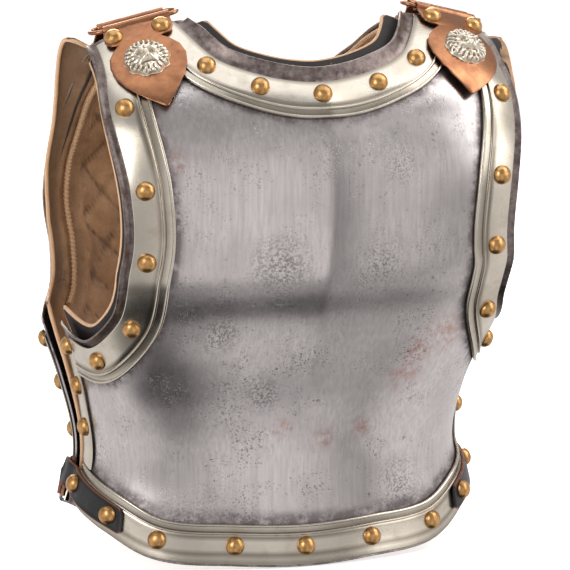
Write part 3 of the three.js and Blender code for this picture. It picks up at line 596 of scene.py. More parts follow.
def brass_finish():
    f = Finish("polished_brass", 0.3, 1.0)
    age = f.noise(260, 4, 0.65)
    base = f.mix(f.reach(age, 0.4, 0.72), (0.63, 0.37, 0.15), (0.33, 0.17, 0.06))
    return f.coat(base, f.reach(age, 0.3, 0.7, (0.27, 0.4)), ((f.noise(900, 2), 0.00001),))


def copper_finish():
    f = Finish("old_copper", 0.36, 1.0)
    patina = f.noise(70, 5, 0.65)
    base = f.mix(f.reach(patina, 0.4, 0.7), (0.42, 0.195, 0.10), (0.27, 0.12, 0.065))
    base = f.mix(f.both(f.reach(f.noise(420, 4), 0.6, 0.72), 0.5), base, (0.2, 0.09, 0.06))
    bumps = ((patina, 0.00002), (f.noise(800, 2), 0.00001))
    return f.coat(base, f.reach(patina, 0.3, 0.7, (0.22, 0.4)), bumps)


def silver_finish():
    f = Finish("cast_silver", 0.3, 1.0)
    hollow = f.attribute("groove")
    age = f.noise(500, 4, 0.65)
    base = f.mix(f.reach(age, 0.35, 0.7), (0.80, 0.74, 0.63), (0.58, 0.51, 0.41))
    base = f.mix(hollow, base, (0.14, 0.10, 0.07))
    return f.coat(base, f.reach(age, 0.3, 0.7, (0.24, 0.42)), ((age, 0.00006),))


def iron_finish():
    f = Finish("buckle_iron", 0.4, 1.0)
    age = f.noise(300, 4, 0.65)
    base = f.mix(f.reach(age, 0.35, 0.7), (0.42, 0.41, 0.41), (0.16, 0.14, 0.13))
    return f.coat(base, f.reach(age, 0.3, 0.7, (0.3, 0.5)), ((age, 0.0001),))


def leather(name, dark, light, edge, roughness, crease=0.0003, grain=900.0):
    """Leather with a fine grain, worn lighter here and there, with pale cut edges and dark seams."""
    f = Finish(name, roughness, 0.0)
    f.shader.inputs["Specular IOR Level"].default_value = 0.35
    cloud = f.noise(28, 5, 0.65)
    pores = f.cells(grain)
    wrinkles = f.noise(170, 5, 0.7)
    base = f.mix(f.reach(cloud, 0.32, 0.7), dark, light)
    base = f.mix(f.both(f.reach(wrinkles, 0.5, 0.7), 0.4), base, dark)
    base = f.mix(f.attribute("cut"), base, edge)
    base = f.mix(f.both(f.attribute("seam"), 0.7), base, tuple(0.3 * channel for channel in dark))
    creases = f.both(f.noise(75, 3, 0.6, None, 1.6), f.reach(f.noise(12, 2), 0.35, 0.65, (0.3, 1.0)))
    bumps = ((creases, crease), (wrinkles, 0.0002), (pores, 0.00012))
    return f.coat(base, f.reach(cloud, 0.3, 0.7, (roughness - 0.08, roughness + 0.1)), bumps)


def thread_finish():
    f = Finish("waxed_thread", 0.7, 0.0)
    base = f.mix(f.noise(800, 3), (0.42, 0.27, 0.15), (0.66, 0.46, 0.28))
    return f.coat(base, None, ((f.noise(2500, 2), 0.0001),))


STEEL_PLATE = steel_finish()
DARK_RIM = flange_finish()
NICKEL = nickel_finish()
BRASS = brass_finish()
COPPER = copper_finish()
SILVER = silver_finish()
IRON = iron_finish()
TAN = leather(
    "tan_lining_leather", (0.22, 0.115, 0.055), (0.43, 0.255, 0.14), (0.58, 0.36, 0.21), 0.46, 0.002,
)
BLACK_BACKING = leather(
    "black_backing_leather", (0.012, 0.010, 0.010), (0.03, 0.026, 0.026), (0.5, 0.3, 0.16), 0.6,
)
BLACK_STRAP = leather(
    "black_strap_leather", (0.010, 0.010, 0.012), (0.028, 0.027, 0.03), (0.20, 0.07, 0.04), 0.36,
)
BROWN_STRAP = leather(
    "brown_strap_leather", (0.07, 0.03, 0.018), (0.16, 0.07, 0.04), (0.24, 0.12, 0.07), 0.45,
)
THREAD = thread_finish()


# ---- Sheets with a curved outline ----
def offset_of(rows, face, distance, count=90, ease=0):
    """A smooth line beside a line of a table; easing rounds off its tight bends."""
    moved = offset_line(face, smooth_line(rows, count), distance)
    return eased(moved, round(ease * (count / 140) ** 2))


def eased(line, rounds):
    for _ in range(rounds):
        line = [line[0]] + [
            ((a[0] + 2 * b[0] + c[0]) / 4, (a[1] + 2 * b[1] + c[1]) / 4)
            for a, b, c in zip(line, line[1:], line[2:])
        ] + [line[-1]]
    return line


def outline(face, edge, counts):
    """The left half of a sheet's edge: waist, side, armhole, shoulder and neck."""
    across_bottom, up_side, up_arm, along_shoulder, along_neck = counts
    shoulder = face["shoulder"] + edge["shoulder"]
    side = face["side"] + edge["side"] / girth_at(face, 120) / DEG
    neck = keep_below(offset_of(face["neck"], face, edge["neck"]), 1, shoulder)
    arm = keep_below(offset_of(face["arm"], face, edge["arm"], 140, edge.get("ease", 0)), 1, shoulder)
    arm = keep_below(arm, 0, side)[::-1]
    waist = keep_below(offset_of(face["waist"], face, -edge["waist"]), 0, side)
    neck[0] = (0, neck[0][1])
    waist[0] = (0, waist[0][1])
    bottom = respace(face, waist, across_bottom)
    side_line = respace(face, [bottom[-1], arm[0]], up_side)
    arm_line = respace(face, arm, up_arm)
    shoulder_line = respace(face, [neck[-1], arm_line[-1]], along_shoulder)
    neck_line = respace(face, neck, along_neck)
    return {
        "bottom": bottom,
        "right": side_line + arm_line[1:],
        "top": neck_line + shoulder_line[1:],
        "names": ["waist"] * len(bottom) + ["side"] * up_side + ["arm"] * up_arm
        + ["shoulder"] * along_shoulder + ["neck"] * along_neck,
    }


def even_grid(edges):
    """Fills an outline with an even grid of spots, whose lines never cross."""
    scale = np.array([MM_PER_DEGREE, 1.0])
    bottom = np.array(edges["bottom"]) * scale
    right = np.array(edges["right"]) * scale
    top = np.array(edges["top"]) * scale
    tall, wide = len(right), len(bottom)
    left = np.stack([np.zeros(tall), np.linspace(bottom[0][1], top[0][1], tall)], 1)
    u = np.linspace(0, 1, wide)[None, :, None]
    v = np.linspace(0, 1, tall)[:, None, None]
    grid = (1 - v) * bottom[None] + v * top[None] + (1 - u) * left[:, None] + u * right[:, None]
    grid = grid - (1 - v) * ((1 - u) * bottom[0] + u * bottom[-1]) - v * ((1 - u) * top[0] + u * top[-1])
    for _ in range(1500):
        across = (grid[1:-1, 2:] - grid[1:-1, :-2]) / 2
        up = (grid[2:, 1:-1] - grid[:-2, 1:-1]) / 2
        twist = (grid[2:, 2:] - grid[2:, :-2] - grid[:-2, 2:] + grid[:-2, :-2]) / 4
        a = (up ** 2).sum(2, keepdims=True)
        b = (across * up).sum(2, keepdims=True)
        c = (across ** 2).sum(2, keepdims=True)
        near = a * (grid[1:-1, 2:] + grid[1:-1, :-2]) + c * (grid[2:, 1:-1] + grid[:-2, 1:-1])
        grid[1:-1, 1:-1] += 0.9 * ((near - 2 * b * twist) / (2 * (a + c) + 1e-9) - grid[1:-1, 1:-1])
    return finer(finer(grid, 3).transpose(1, 0, 2), 3).transpose(1, 0, 2) / scale


def finer(rows, times):
    """Puts smooth rows between the rows of a table."""
    before = np.concatenate([rows[:1] * 2 - rows[1:2], rows[:-1]])
    after = np.concatenate([rows[1:], rows[-1:] * 2 - rows[-2:-1]])
    slopes = (after - before) / 2
    made = []
    for i in range(len(rows) - 1):
        for k in range(times):
            t = k / times
            rise = rows[i + 1] - rows[i]
            made.append(smooth_run(rows[i], rise, slopes[i], slopes[i + 1], t))
    made.append(rows[-1])
    return np.array(made)


def chain_of(grid):
    """The spots round a half grid, from the middle of the waist to the middle of the neck."""
    bottom, right, top = grid[0], grid[1:, -1], grid[-1, -2::-1]
    return [tuple(spot) for spot in np.concatenate([bottom, right, top])]


def merged(piece):
    """Joins the doubled points where the sheets of a piece meet."""
    return worked(
        piece, (bpy.ops.mesh.remove_doubles, {"threshold": 2e-5}),
        (bpy.ops.mesh.normals_make_consistent, {"inside": False}),
    )


def turned_out(piece, face):
    """Turns an open sheet so that its faces look away from the body."""
    mesh = piece.data
    polygon = mesh.polygons[len(mesh.polygons) // 3]
    at = Vector(polygon.center) / MM - ORIGIN
    if Vector(polygon.normal).dot(normal_at(face, spot_under(face, at))) < 0:
        worked(piece, (bpy.ops.mesh.flip_normals, {}))


def mark(piece, name, value_at):
    """Gives each vertex a number that the piece's material reads."""
    layer = piece.data.attributes.new(name, "FLOAT", "POINT")
    layer.data.foreach_set("value", [value_at(vertex.co) for vertex in piece.data.vertices])


def tree_through(points):
    tree = KDTree(len(points))
    for i, point in enumerate(points):
        tree.insert(point, i)
    tree.balance()
    return tree


def tree_of(face, lines):
    """A search tree over lines of spots, both sides of the body, in metres."""
    return tree_through([place(skin(face, spot)) for line in lines for spot in line + mirrored(line)])


def rivet_line(rows, shoulder=None):
    line = smooth_line(rows, 220)
    return keep_below(line, 1, shoulder) if shoulder else line


# ---- Plates ----
def plate(name, face, node):
    """A steel plate with its rims turned out, its halves joined at the middle."""
    counts = (20, 8, 22, 6, 14)
    root = outline(face, RIM_ROOT, counts)
    grid = even_grid(root)
    rows = [[place(skin(face, spot)) for spot in row] for row in grid]
    for row in rows:
        row[0].x = 0
    piece = grid_piece(name, rows)
    near = chain_of(grid)
    edge = outline(face, STEEL_EDGE, tuple(3 * n for n in counts))
    far = edge["bottom"] + edge["right"][1:] + edge["top"][-2::-1]
    names = edge["names"]
    rim_rows = [[] for _ in range(7)]
    for k, (spot, end) in enumerate(zip(near, far)):
        from_side = smoothstep(face["side"] - abs(end[0]), 0, 16)
        from_shoulder = smoothstep(face["shoulder"] - end[1], 0, 25)
        rise = lerp(0.35, 1, from_side) * lerp(0.5, 1, from_shoulder) * face["rise"][names[k]]
        for j in range(7):
            t = j / 6
            at = (lerp(spot[0], end[0], t), lerp(spot[1], end[1], t))
            rim_rows[j].append(place(raised(face, at, rise * t ** 1.7)))
    for row in rim_rows:
        row[0].x = row[-1].x = 0
    rim_rows[0] = [place(skin(face, spot)) for spot in near]
    rim_rows[0][0].x = rim_rows[0][-1].x = 0
    rim = grid_piece(name + "_rim", rim_rows)
    half = merged(join(name, piece, rim))
    whole = merged(join(name, half, mirror_image(half, "other_half")))
    turned_out(whole, face)
    apply_modifier(whole, "SOLIDIFY", thickness=STEEL * MM, offset=-1, use_even_offset=True)
    apply_modifier(
        whole, "BEVEL", width=0.0006, segments=2, limit_method="ANGLE", angle_limit=65 * DEG
    )
    finished(whole, STEEL_PLATE, (node,), 50)
    whole.data.materials.append(DARK_RIM)
    lines = [rivet_line(face[key], face["shoulder"]) for key in ("neck", "arm")]
    rivets = tree_of(face, lines + [rivet_line(face["waist"])])
    rims = tree_of(face, [offset_of(face[key], face, STEEL_EDGE[key], 220) for key in ("neck", "arm")])
    covered = 24 if face is BREAST else 20
    mark(whole, "grime", lambda p: math.exp(-(max(rivets.find(p)[2] / MM - covered, 0) / 3.2) ** 1.2))
    mark(whole, "worn", lambda p: 1 - smoothstep(rims.find(p)[2] / MM, 1.4, 3.2))
    return whole


def paint_rims(piece, face):
    """Gives the second material to the turned rims, outside the borders."""
    inside = tree_of(face, [offset_of(face[key], face, 4, 220) for key in ("neck", "arm")])
    outside = tree_of(face, [offset_of(face[key], face, 17.5, 220) for key in ("neck", "arm")])
    for polygon in piece.data.polygons:
        centre = Vector(polygon.center)
        if outside.find(centre)[2] < inside.find(centre)[2]:
            polygon.material_index = 1


# ---- Borders ----
def border_profile(inner, outer, beads):
    """A border's section, from its inner edge out: distances past the rivets, and heights."""
    top = []
    for centre, radius in beads:
        for k in range(9):
            angle = math.pi * (1 - k / 8)
            across = centre - inner + radius * math.cos(angle)
            top.append((across, 2.35 + (radius + 0.25) * math.sin(angle)))
    top += [(-inner + 11 + (outer + inner - 12) * k / 6, 2.7) for k in range(7)]
    top += [(outer - 0.5, 2.68), (outer - 0.15, 2.45), (outer, 2.0)]
    under = [(outer - 0.1, 1.5), (outer - 11, 1.5), (-inner + 11, 1.5), (-inner + 1, 1.5)]
    return [(-inner, 1.6)] + top + under


BEADED = {
    "neck": border_profile(22, 12, ((1.3, 1.3), (8.4, 1.3))),
    "arm": border_profile(20, 12, ((1.3, 1.3), (8.2, 1.3))),
    "waist": border_profile(18, 15, ((1.3, 1.3), (7.8, 1.3))),
}
PLAIN = {
    "neck": border_profile(17, 12, ((1.5, 1.5),)),
    "arm": border_profile(17, 12, ((1.5, 1.5),)),
    "waist": border_profile(18, 15, ((1.5, 1.5),)),
}


def border(name, face, line, profile, flip=1, near=(), end=None):
    inner = -profile[0][0]
    others = [skin(face, spot) for spot in near]
    room = []
    for spot in line:
        here = skin(face, spot)
        nearest = min([(other - here).length for other in others] + [3 * inner])
        room.append(min(1, (nearest / 2 - 0.5) / inner))
    columns = []
    for distance, _ in profile:
        reach = [flip * distance * (room[i] if distance < 0 else 1) for i in range(len(line))]
        column = offset_line(face, line, reach)
        columns.append([(min(turn, end), level) for turn, level in column] if end else column)
    stations = [
        [place(raised(face, columns[k][i], profile[k][1])) for k in range(len(profile))]
        for i in range(len(line))
    ]
    return sweep(name, stations)


def grooves(piece, face, line, inner):
    """Marks the channels beside the beads, where polish and dirt stay."""
    rivets = tree_of(face, [line])
    gaps = [-inner + 3.4, -inner + 6.4, -inner + 10.4]

    def depth(point):
        distance = rivets.find(point)[2] / MM
        return max(math.exp(-((distance + gap) / 0.7) ** 2) for gap in gaps)

    mark(piece, "groove", depth)


def lines_of(face, cells=110):
    top = face["shoulder"] - 8
    neck = keep_below(smooth_line(face["neck"], 220), 1, top)
    arm = keep_below(smooth_line(face["arm"], 260), 1, top)
    waist = keep_below(smooth_line(face["waist"], 220), 0, face["side"] - 0.3)
    end = face["side"] - 19 / girth_at(face, 120) / DEG
    return {
        "neck": across_body(respace(face, neck, cells // 2)),
        "arm": respace(face, keep_below(arm, 0, end), cells),
        "waist": across_body(respace(face, waist, cells // 2)),
        "end": end,
        "neck_half": respace(face, neck, 60),
        "arm_half": respace(face, arm, 60),
    }


def borders(prefix, face, profiles):
    """The borders of a plate: neck, waist and both armholes."""
    lines = lines_of(face)
    arms = lines["arm_half"] + mirrored(lines["arm_half"])
    neck = border(f"{prefix}_neck_border", face, lines["neck"], profiles["neck"], near=arms)
    waist = border(f"{prefix}_waist_border", face, lines["waist"], profiles["waist"], flip=-1)
    arm = border(
        f"{prefix}_arm_border_left", face, lines["arm"], profiles["arm"],
        near=lines["neck_half"], end=lines["end"],
    )
    for piece, key in ((neck, "neck"), (waist, "waist"), (arm, "arm")):
        grooves(piece, face, lines[key], -profiles[key][0][0])
    finished(neck, NICKEL, (f"{prefix}_neck_band",), 35)
    finished(waist, NICKEL, (f"{prefix}_waist_band",), 35)
    finished(arm, NICKEL, (f"{prefix}_arm_band_left",), 35)
    twin = mirror_image(arm, f"{prefix}_arm_border_right")
    finished(twin, NICKEL, (f"{prefix}_arm_band_right",), 35)


def level_on(line, turn):
    for a, b in zip(line, line[1:]):
        if b[0] > turn:
            return lerp(a[1], b[1], (turn - a[0]) / (b[0] - a[0]))
    return line[-1][1]


def side_strip(prefix, face):
    """The plain strip down each side edge, from the armhole border to the waist border."""
    bottom = offset_of(face["waist"], face, 18.8, 120)
    arm = smooth_line(face["arm"], 220)[110:]
    top = offset_line(face, arm, RIM_ROOT["arm"] - 12)
    front = face["side"] - 18 / girth_at(face, 120) / DEG
    section = [
        (0, 1.7), (0.02, 2.5), (0.06, 2.9), (0.3, 3.0), (0.7, 3.0), (0.94, 2.9), (0.98, 2.5), (1, 1.7),
    ]
    stations = []
    for j in range(61):
        v = j / 60
        station = []
        for u, height in section:
            turn = lerp(front, face["side"] - 0.3, u)
            level = lerp(level_on(bottom, turn), level_on(top, turn), v)
            station.append(place(raised(face, (turn, level), height)))
        stations.append(station)
    piece = sweep(f"{prefix}_side_strip_left", stations)
    mark(piece, "groove", lambda p: 0.0)
    finished_pair(piece, NICKEL, f"{prefix}_side_strip", 35)


# ---- Rivets ----
# How high a rivet's foot stands over the form, by what it is set on.
SEAT = {"border": 2.75, "tab": 6.7, "plaque": 6.5, "back": 1.7, "side": 2.9, "strap": 6.6}


def domed_rivet():
    """One rivet: a cast dome with a slightly flattened crown over a short straight foot."""
    radius, height = 7.8 * MM, 6.4 * MM
    bpy.ops.object.select_all(action="DESELECT")
    bpy.ops.mesh.primitive_uv_sphere_add(segments=36, ring_count=28, radius=radius)
    piece = bpy.context.object
    bpy.ops.object.mode_set(mode="EDIT")
    bpy.ops.mesh.select_all(action="SELECT")
    bpy.ops.mesh.bisect(
        plane_co=(0, 0, 0.0004), plane_no=(0, 0, 1), clear_inner=True, use_fill=True
    )
    bpy.ops.mesh.select_all(action="SELECT")
    bpy.ops.mesh.remove_doubles(threshold=1e-6)
    bpy.ops.object.mode_set(mode="OBJECT")
    for vertex in piece.data.vertices:
        out = min(1, math.hypot(vertex.co.x, vertex.co.y) / radius)
        if vertex.co.z > 0.0005:
            vertex.co.z = height * (1 - out ** 2.3) ** 0.56
        else:
            vertex.co.z = 0
    piece.data.update()
    face_outwards(piece)
    smooth_shade(piece, 50)
    return piece


def set_rivet(pattern, name, face, spot, height, nodes=(), right=False):
    normal = normal_at(face, spot)
    at = place(raised(face, spot, height))
    turn = normal.to_track_quat("Z", "Y").to_matrix().to_4x4()
    twin = pattern.copy()
    twin.data = pattern.data.copy()
    twin.name = twin.data.name = name
    bpy.context.collection.objects.link(twin)
    twin.data.transform(Matrix.Translation(at) @ turn)
    if right:
        twin.data.transform(Matrix.Scale(-1, 4, (1, 0, 0)))
        twin.data.flip_normals()
    return finished(twin, BRASS, nodes, 0)


def rivet_pair(pattern, name, face, spot, height, node=None):
    for side in ("left", "right"):
        nodes = (f"{node}_{side}",) if node else ()
        set_rivet(pattern, f"{name}_{side}", face, spot, height, nodes, side == "right")


def all_rivets():
    pattern = domed_rivet()
    names = {
        "neck": ("neck_centre", "neck_inner", "neck_outer"),
        "arm": ("arm_1", "arm_2", "arm_3", "arm_4", "arm_5"),
        "waist": ("waist_centre", "waist_1", "waist_2", "waist_3", "waist_4"),
    }
    for key, list_of in names.items():
        rows = BREAST[key][2:] if key == "arm" else BREAST[key]
        for label, spot in zip(list_of, rows):
            height = SEAT["tab" if label in ("waist_3", "waist_4") else "border"]
            if spot[0] == 0:
                set_rivet(pattern, f"brass_{label}", BREAST, spot, height, (f"rivet_{label}",))
            else:
                rivet_pair(pattern, f"brass_{label}", BREAST, spot, height, f"rivet_{label}")
    for label, side in (("ear_inner", -1), ("ear_outer", 1)):
        spot = FRONT(side * 19.5, 33)
        rivet_pair(pattern, f"brass_{label}", BREAST, spot, SEAT["plaque"], f"rivet_{label}")
    for key, first, count in (("neck", 0, 3), ("arm", 2, 5), ("waist", 0, 3)):
        for i, spot in enumerate(BACK[key][first:first + count]):
            if spot[0] == 0:
                set_rivet(pattern, f"back_brass_{key}_{i}", BACK, spot, SEAT["back"])
            else:
                rivet_pair(pattern, f"back_brass_{key}_{i}", BACK, spot, SEAT["back"])
    for prefix, face, levels in (("breast", BREAST, (182, 148, 113)), ("back", BACK, (180, 144, 104))):
        turn = face["side"] - 9 / girth_at(face, 120) / DEG
        for i, level in enumerate(levels):
            rivet_pair(pattern, f"{prefix}_side_brass_{i}", face, (turn, level), SEAT["side"])
    for i, side in enumerate((-1, 1)):
        rivet_pair(pattern, f"back_plaque_brass_{i}", BACK, REAR(side * 15, 24), SEAT["plaque"])
    for i, turn in enumerate((46.5, 51.8)):
        rivet_pair(pattern, f"strap_brass_{i}", BACK, waist_spot(BACK, turn), SEAT["strap"])
    bpy.data.objects.remove(pattern)


# ---- Shoulder plaques, masks and links ----
def drawing_on(face, origin, up_spot):
    """A flat drawing laid on the form: p runs sideways and q up, in millimetres."""
    centre = skin(face, origin)
    normal = normal_at(face, origin)
    up = skin(face, up_spot) - centre
    up = (up - normal * up.dot(normal)).normalized()
    across = up.cross(normal) * (1 if face is BREAST else -1)
    return lambda p, q: spot_under(face, centre + across * p + up * q)


FRONT = drawing_on(BREAST, (46.4, 425), (47.8, 459))
REAR = drawing_on(BACK, (42.7, 478), (45.2, 530))
LEAF = [
    (-48, 0.6), (-46.5, 2.6), (-42, 7), (-33, 15.5), (-22, 23.5), (-11, 28.5), (0, 30.5), (10, 28.4),
    (17, 23), (21, 18.6), (22.6, 17), (23.4, 18.4), (25, 23.6), (27.5, 26.9), (31, 28.3),
    (36, 28.4), (41, 28),
]
PLAQUE_TOP = 41
PLAQUE_LIFT = 5.9
HINGE_HALF = 28
TONGUE = [(6, 6), (7, 11), (9, 16.5), (12, 21), (17, 25), (24, 27.6), (32, 28.4), (41, 28)]


def half_at(rows, q):
    for (q0, w0), (q1, w1) in zip(rows, rows[1:]):
        if q <= q1:
            return lerp(w0, w1, (q - q0) / (q1 - q0))
    return rows[-1][1]


def roll_axis(rear, half):
    ends = [raised(BREAST, FRONT(p, 47), 6) for p in (-half, half)]
    return [end + Vector((0, 17, 0.5)) for end in ends] if rear else ends


def plaque(name, face, drawing, rows, node):
    """A sheet cut to a leaf, lying on the border and rolled round the link at its top."""
    rear = face is BACK
    start, end = roll_axis(rear, rows[-1][1])
    steps = [rows[0][0] + k * 1.25 for k in range(80)]
    levels = sorted({q for q, _ in rows} | {q for q in steps if q < PLAQUE_TOP})
    sheet = []
    across = 32
    for q in levels:
        half = half_at(rows, q)
        row = []
        for i in range(across + 1):
            t = 2 * i / across - 1
            edge = abs(t) ** 2.2
            crown = PLAQUE_LIFT + 0.5 * (1 - edge)
            row.append(place(raised(face, drawing(half * t, q), crown)))
        sheet.append(row)
    middle = normal_at(face, drawing(0, PLAQUE_TOP))
    for k in range(1, 9):
        row = []
        for i in range(across + 1):
            t = i / across
            axis = start.lerp(end, t)
            edge = raised(face, drawing(lerp(-HINGE_HALF, HINGE_HALF, t), PLAQUE_TOP), PLAQUE_LIFT)
            away = (edge - axis).normalized()
            target = axis + away * 3.1 + middle * 0.2
            row.append(place(edge.lerp(target, k / 8)))
        sheet.append(row)
    piece = grid_piece(name, sheet)
    turned_out(piece, face)
    apply_modifier(piece, "SOLIDIFY", thickness=1.4 * MM, offset=0)
    apply_modifier(
        piece, "BEVEL", width=0.0004, segments=2, limit_method="ANGLE", angle_limit=60 * DEG
    )
    pipe = hollow_roll(name + "_roll", place(start), place(end), 3.75 * MM, 2.3 * MM)
    finished_pair(join(f"{name}_left", piece, pipe), COPPER, node, 45)


LIPS = ((0, 0.94, 1.1), (0.012, 1, 1), (0.5, 1, 1), (0.988, 1, 1), (1, 0.94, 1.1))


def hollow_roll(name, start, end, radius, bore):
    """The rolled edge of a sheet: a tube with open ends, eased at its lips."""
    along = (end - start).normalized()
    side = along.orthogonal().normalized()
    above = side.cross(along)
    sections = [
        (start.lerp(end, depth), radius * outer, bore * inner)
        for depth, outer, inner in LIPS
    ]
    rings = [(point, big) for point, big, _ in sections]
    rings += [(point, small) for point, _, small in sections[::-1]]
    rows = [
        [point + (side * math.cos(a) + above * math.sin(a)) * size for a in angles(32)]
        for point, size in rings + rings[:1]
    ]
    piece = grid_piece(name, [row + [row[0]] for row in rows], closed=True)
    face_outwards(piece)
    return piece


def angles(count):
    return [2 * math.pi * k / count for k in range(count)]


def shoulder_links():
    """Copper wire bent to a long closed loop through both rolls."""
    front_in, front_out = roll_axis(False, HINGE_HALF)
    back_in, back_out = roll_axis(True, HINGE_HALF)
    away = (front_out - front_in).normalized()
    points = []
    for start, end, out in ((front_out, back_out, away), (back_in, front_in, -away)):
        for k in range(25):
            angle = math.pi * k / 24
            centre = start.lerp(end, 0.5)
            reach = start - centre
            points.append(place(centre + reach * math.cos(angle) + out * (reach.length * math.sin(angle))))
    dense = []
    for i, point in enumerate(points):
        after = points[(i + 1) % len(points)]
        steps = 14 if (after - point).length > 0.02 else 1
        dense += [point.lerp(after, k / steps) for k in range(steps)]
    up = (back_out - front_out).cross(away).normalized()
    loop = tube("shoulder_link_left_wire", dense, 1.7 * MM, 16, loop=True, up=up)
    finished_pair(loop, COPPER, "shoulder_link", 60)


def bell(p, q, at_p, at_q, wide, tall, height):
    return height * math.exp(-(((p - at_p) / wide) ** 2 + ((q - at_q) / tall) ** 2))


def lion_relief(p, q):
    """Height of the mask over its base, in millimetres, at a place on its face."""
    r, angle = math.hypot(p, q), math.atan2(q, p)
    height = 1.1 + 3.2 * math.exp(-(((r - 11.8) / 5.6) ** 4))
    for ring, size, count, shift, tall in (
        (16.2, 1.5, 26, 0.0, 1.3), (13.2, 1.7, 21, 1.1, 1.5), (10.4, 1.6, 15, 0.4, 1.2),
    ):
        curl = max(0.0, math.cos(count * angle / 2 + shift) ** 2)
        height += tall * math.exp(-((r - ring) / size) ** 2) * (curl * 1.3 - 0.5)
    head = math.exp(-((math.hypot(p / 9.6, (q + 0.8) / 11)) ** 6))
    height = lerp(height, 6.6, head)
    p, q = p * 0.86, q * 0.86
    for at_p, at_q, wide, high, lift in (
        (0, -4.6, 4.4, 3.2, 3.4), (2.5, -5.2, 2.0, 1.9, 1.3), (-2.5, -5.2, 2.0, 1.9, 1.3),
        (0, 0.6, 1.5, 4.6, 2.4), (0, -2.6, 2.5, 1.1, 1.4), (0, -7.6, 3.6, 0.7, -2.4),
        (0, -5.2, 0.4, 1.4, -1.2), (0, -9.6, 2.7, 1.4, 1.6), (3.9, 4.1, 3.0, 1.2, 2.4),
        (-3.9, 4.1, 3.0, 1.2, 2.4), (3.7, 1.5, 2.3, 1.4, -3.0), (-3.7, 1.5, 2.3, 1.4, -3.0),
        (3.7, 1.4, 1.1, 0.9, 1.9), (-3.7, 1.4, 1.1, 0.9, 1.9), (0, 4.8, 0.6, 2.0, -1.4),
        (2.6, 7.2, 2.0, 1.7, 1.2), (-2.6, 7.2, 2.0, 1.7, 1.2), (6.0, -2.4, 1.9, 3.2, 1.2),
        (-6.0, -2.4, 1.9, 3.2, 1.2), (7.9, 7.0, 2.2, 2.2, 2.2), (-7.9, 7.0, 2.2, 2.2, 2.2),
        (7.9, 6.6, 1.0, 1.0, -1.8), (-7.9, 6.6, 1.0, 1.0, -1.8),
    ):
        height += bell(p, q, at_p, at_q, wide, high, lift)
    return height


def lion_masks():
    rings, spokes = 60, 144
    base = 7.0
    rows = []
    for j in range(rings + 1):
        row = []
        for k in range(spokes + 1):
            angle = 2 * math.pi * (k % spokes) / spokes
            edge = 17.8 + 0.65 * math.cos(10 * angle)
            r = edge * j / rings
            p, q = r * math.cos(angle), r * math.sin(angle)
            droop = 1 - smoothstep(j / rings, 0.93, 1.0)
            height = max(0.1, lion_relief(p, q)) * droop
            row.append(place(raised(BREAST, FRONT(p, q), base + height)))
        rows.append(row)
    rows.append([place(raised(BREAST, FRONT(0, 0), base - 0.2))] * (spokes + 1))
    piece = grid_piece("lion_mask_left_cast", rows, closed=True)
    face_outwards(piece)
    hollows(piece, 0.9)
    finished_pair(piece, SILVER, "lion_mask", 80)


def hollows(piece, strength):
    """Marks the valleys of a relief, where dark oxide stays after polishing."""
    mesh = piece.data
    total = [Vector() for _ in mesh.vertices]
    count = [0] * len(mesh.vertices)
    for edge in mesh.edges:
        a, b = edge.vertices
        total[a] += mesh.vertices[b].co
        total[b] += mesh.vertices[a].co
        count[a] += 1
        count[b] += 1
    raw = []
    for vertex, near, n in zip(mesh.vertices, total, count):
        raw.append((near / max(n, 1) - vertex.co).dot(vertex.normal) / MM)
    for _ in range(2):
        sums = [0.0] * len(raw)
        for edge in mesh.edges:
            a, b = edge.vertices
            sums[a] += raw[b]
            sums[b] += raw[a]
        raw = [0.5 * value + 0.5 * s / max(n, 1) for value, s, n in zip(raw, sums, count)]
    layer = mesh.attributes.new("groove", "FLOAT", "POINT")
    layer.data.foreach_set("value", [strength * smoothstep(value, 0.0, 0.05) for value in raw])


# ---- Waist straps ----
def waist_spot(face, turn):
    return (turn, level_on(smooth_line(face["waist"], 120), turn))


TAB_ROUTE = [(BREAST, turn, 4.2) for turn in (69.5, 73, 76.5, 80, 84, 88, 91)] + [
    (BREAST, 93.6, 8.4), (BREAST, 96, 10.4), (BACK, 68, 7.2), (BACK, 66.2, 7.4),
]
STRAP_ROUTE = [(BACK, turn, 4.2) for turn in (44.5, 49, 53, 57, 60.5, 64.5)] + [
    (BACK, 68, 3.9), (BREAST, 96, 7.2), (BREAST, 94.2, 5.4),
]


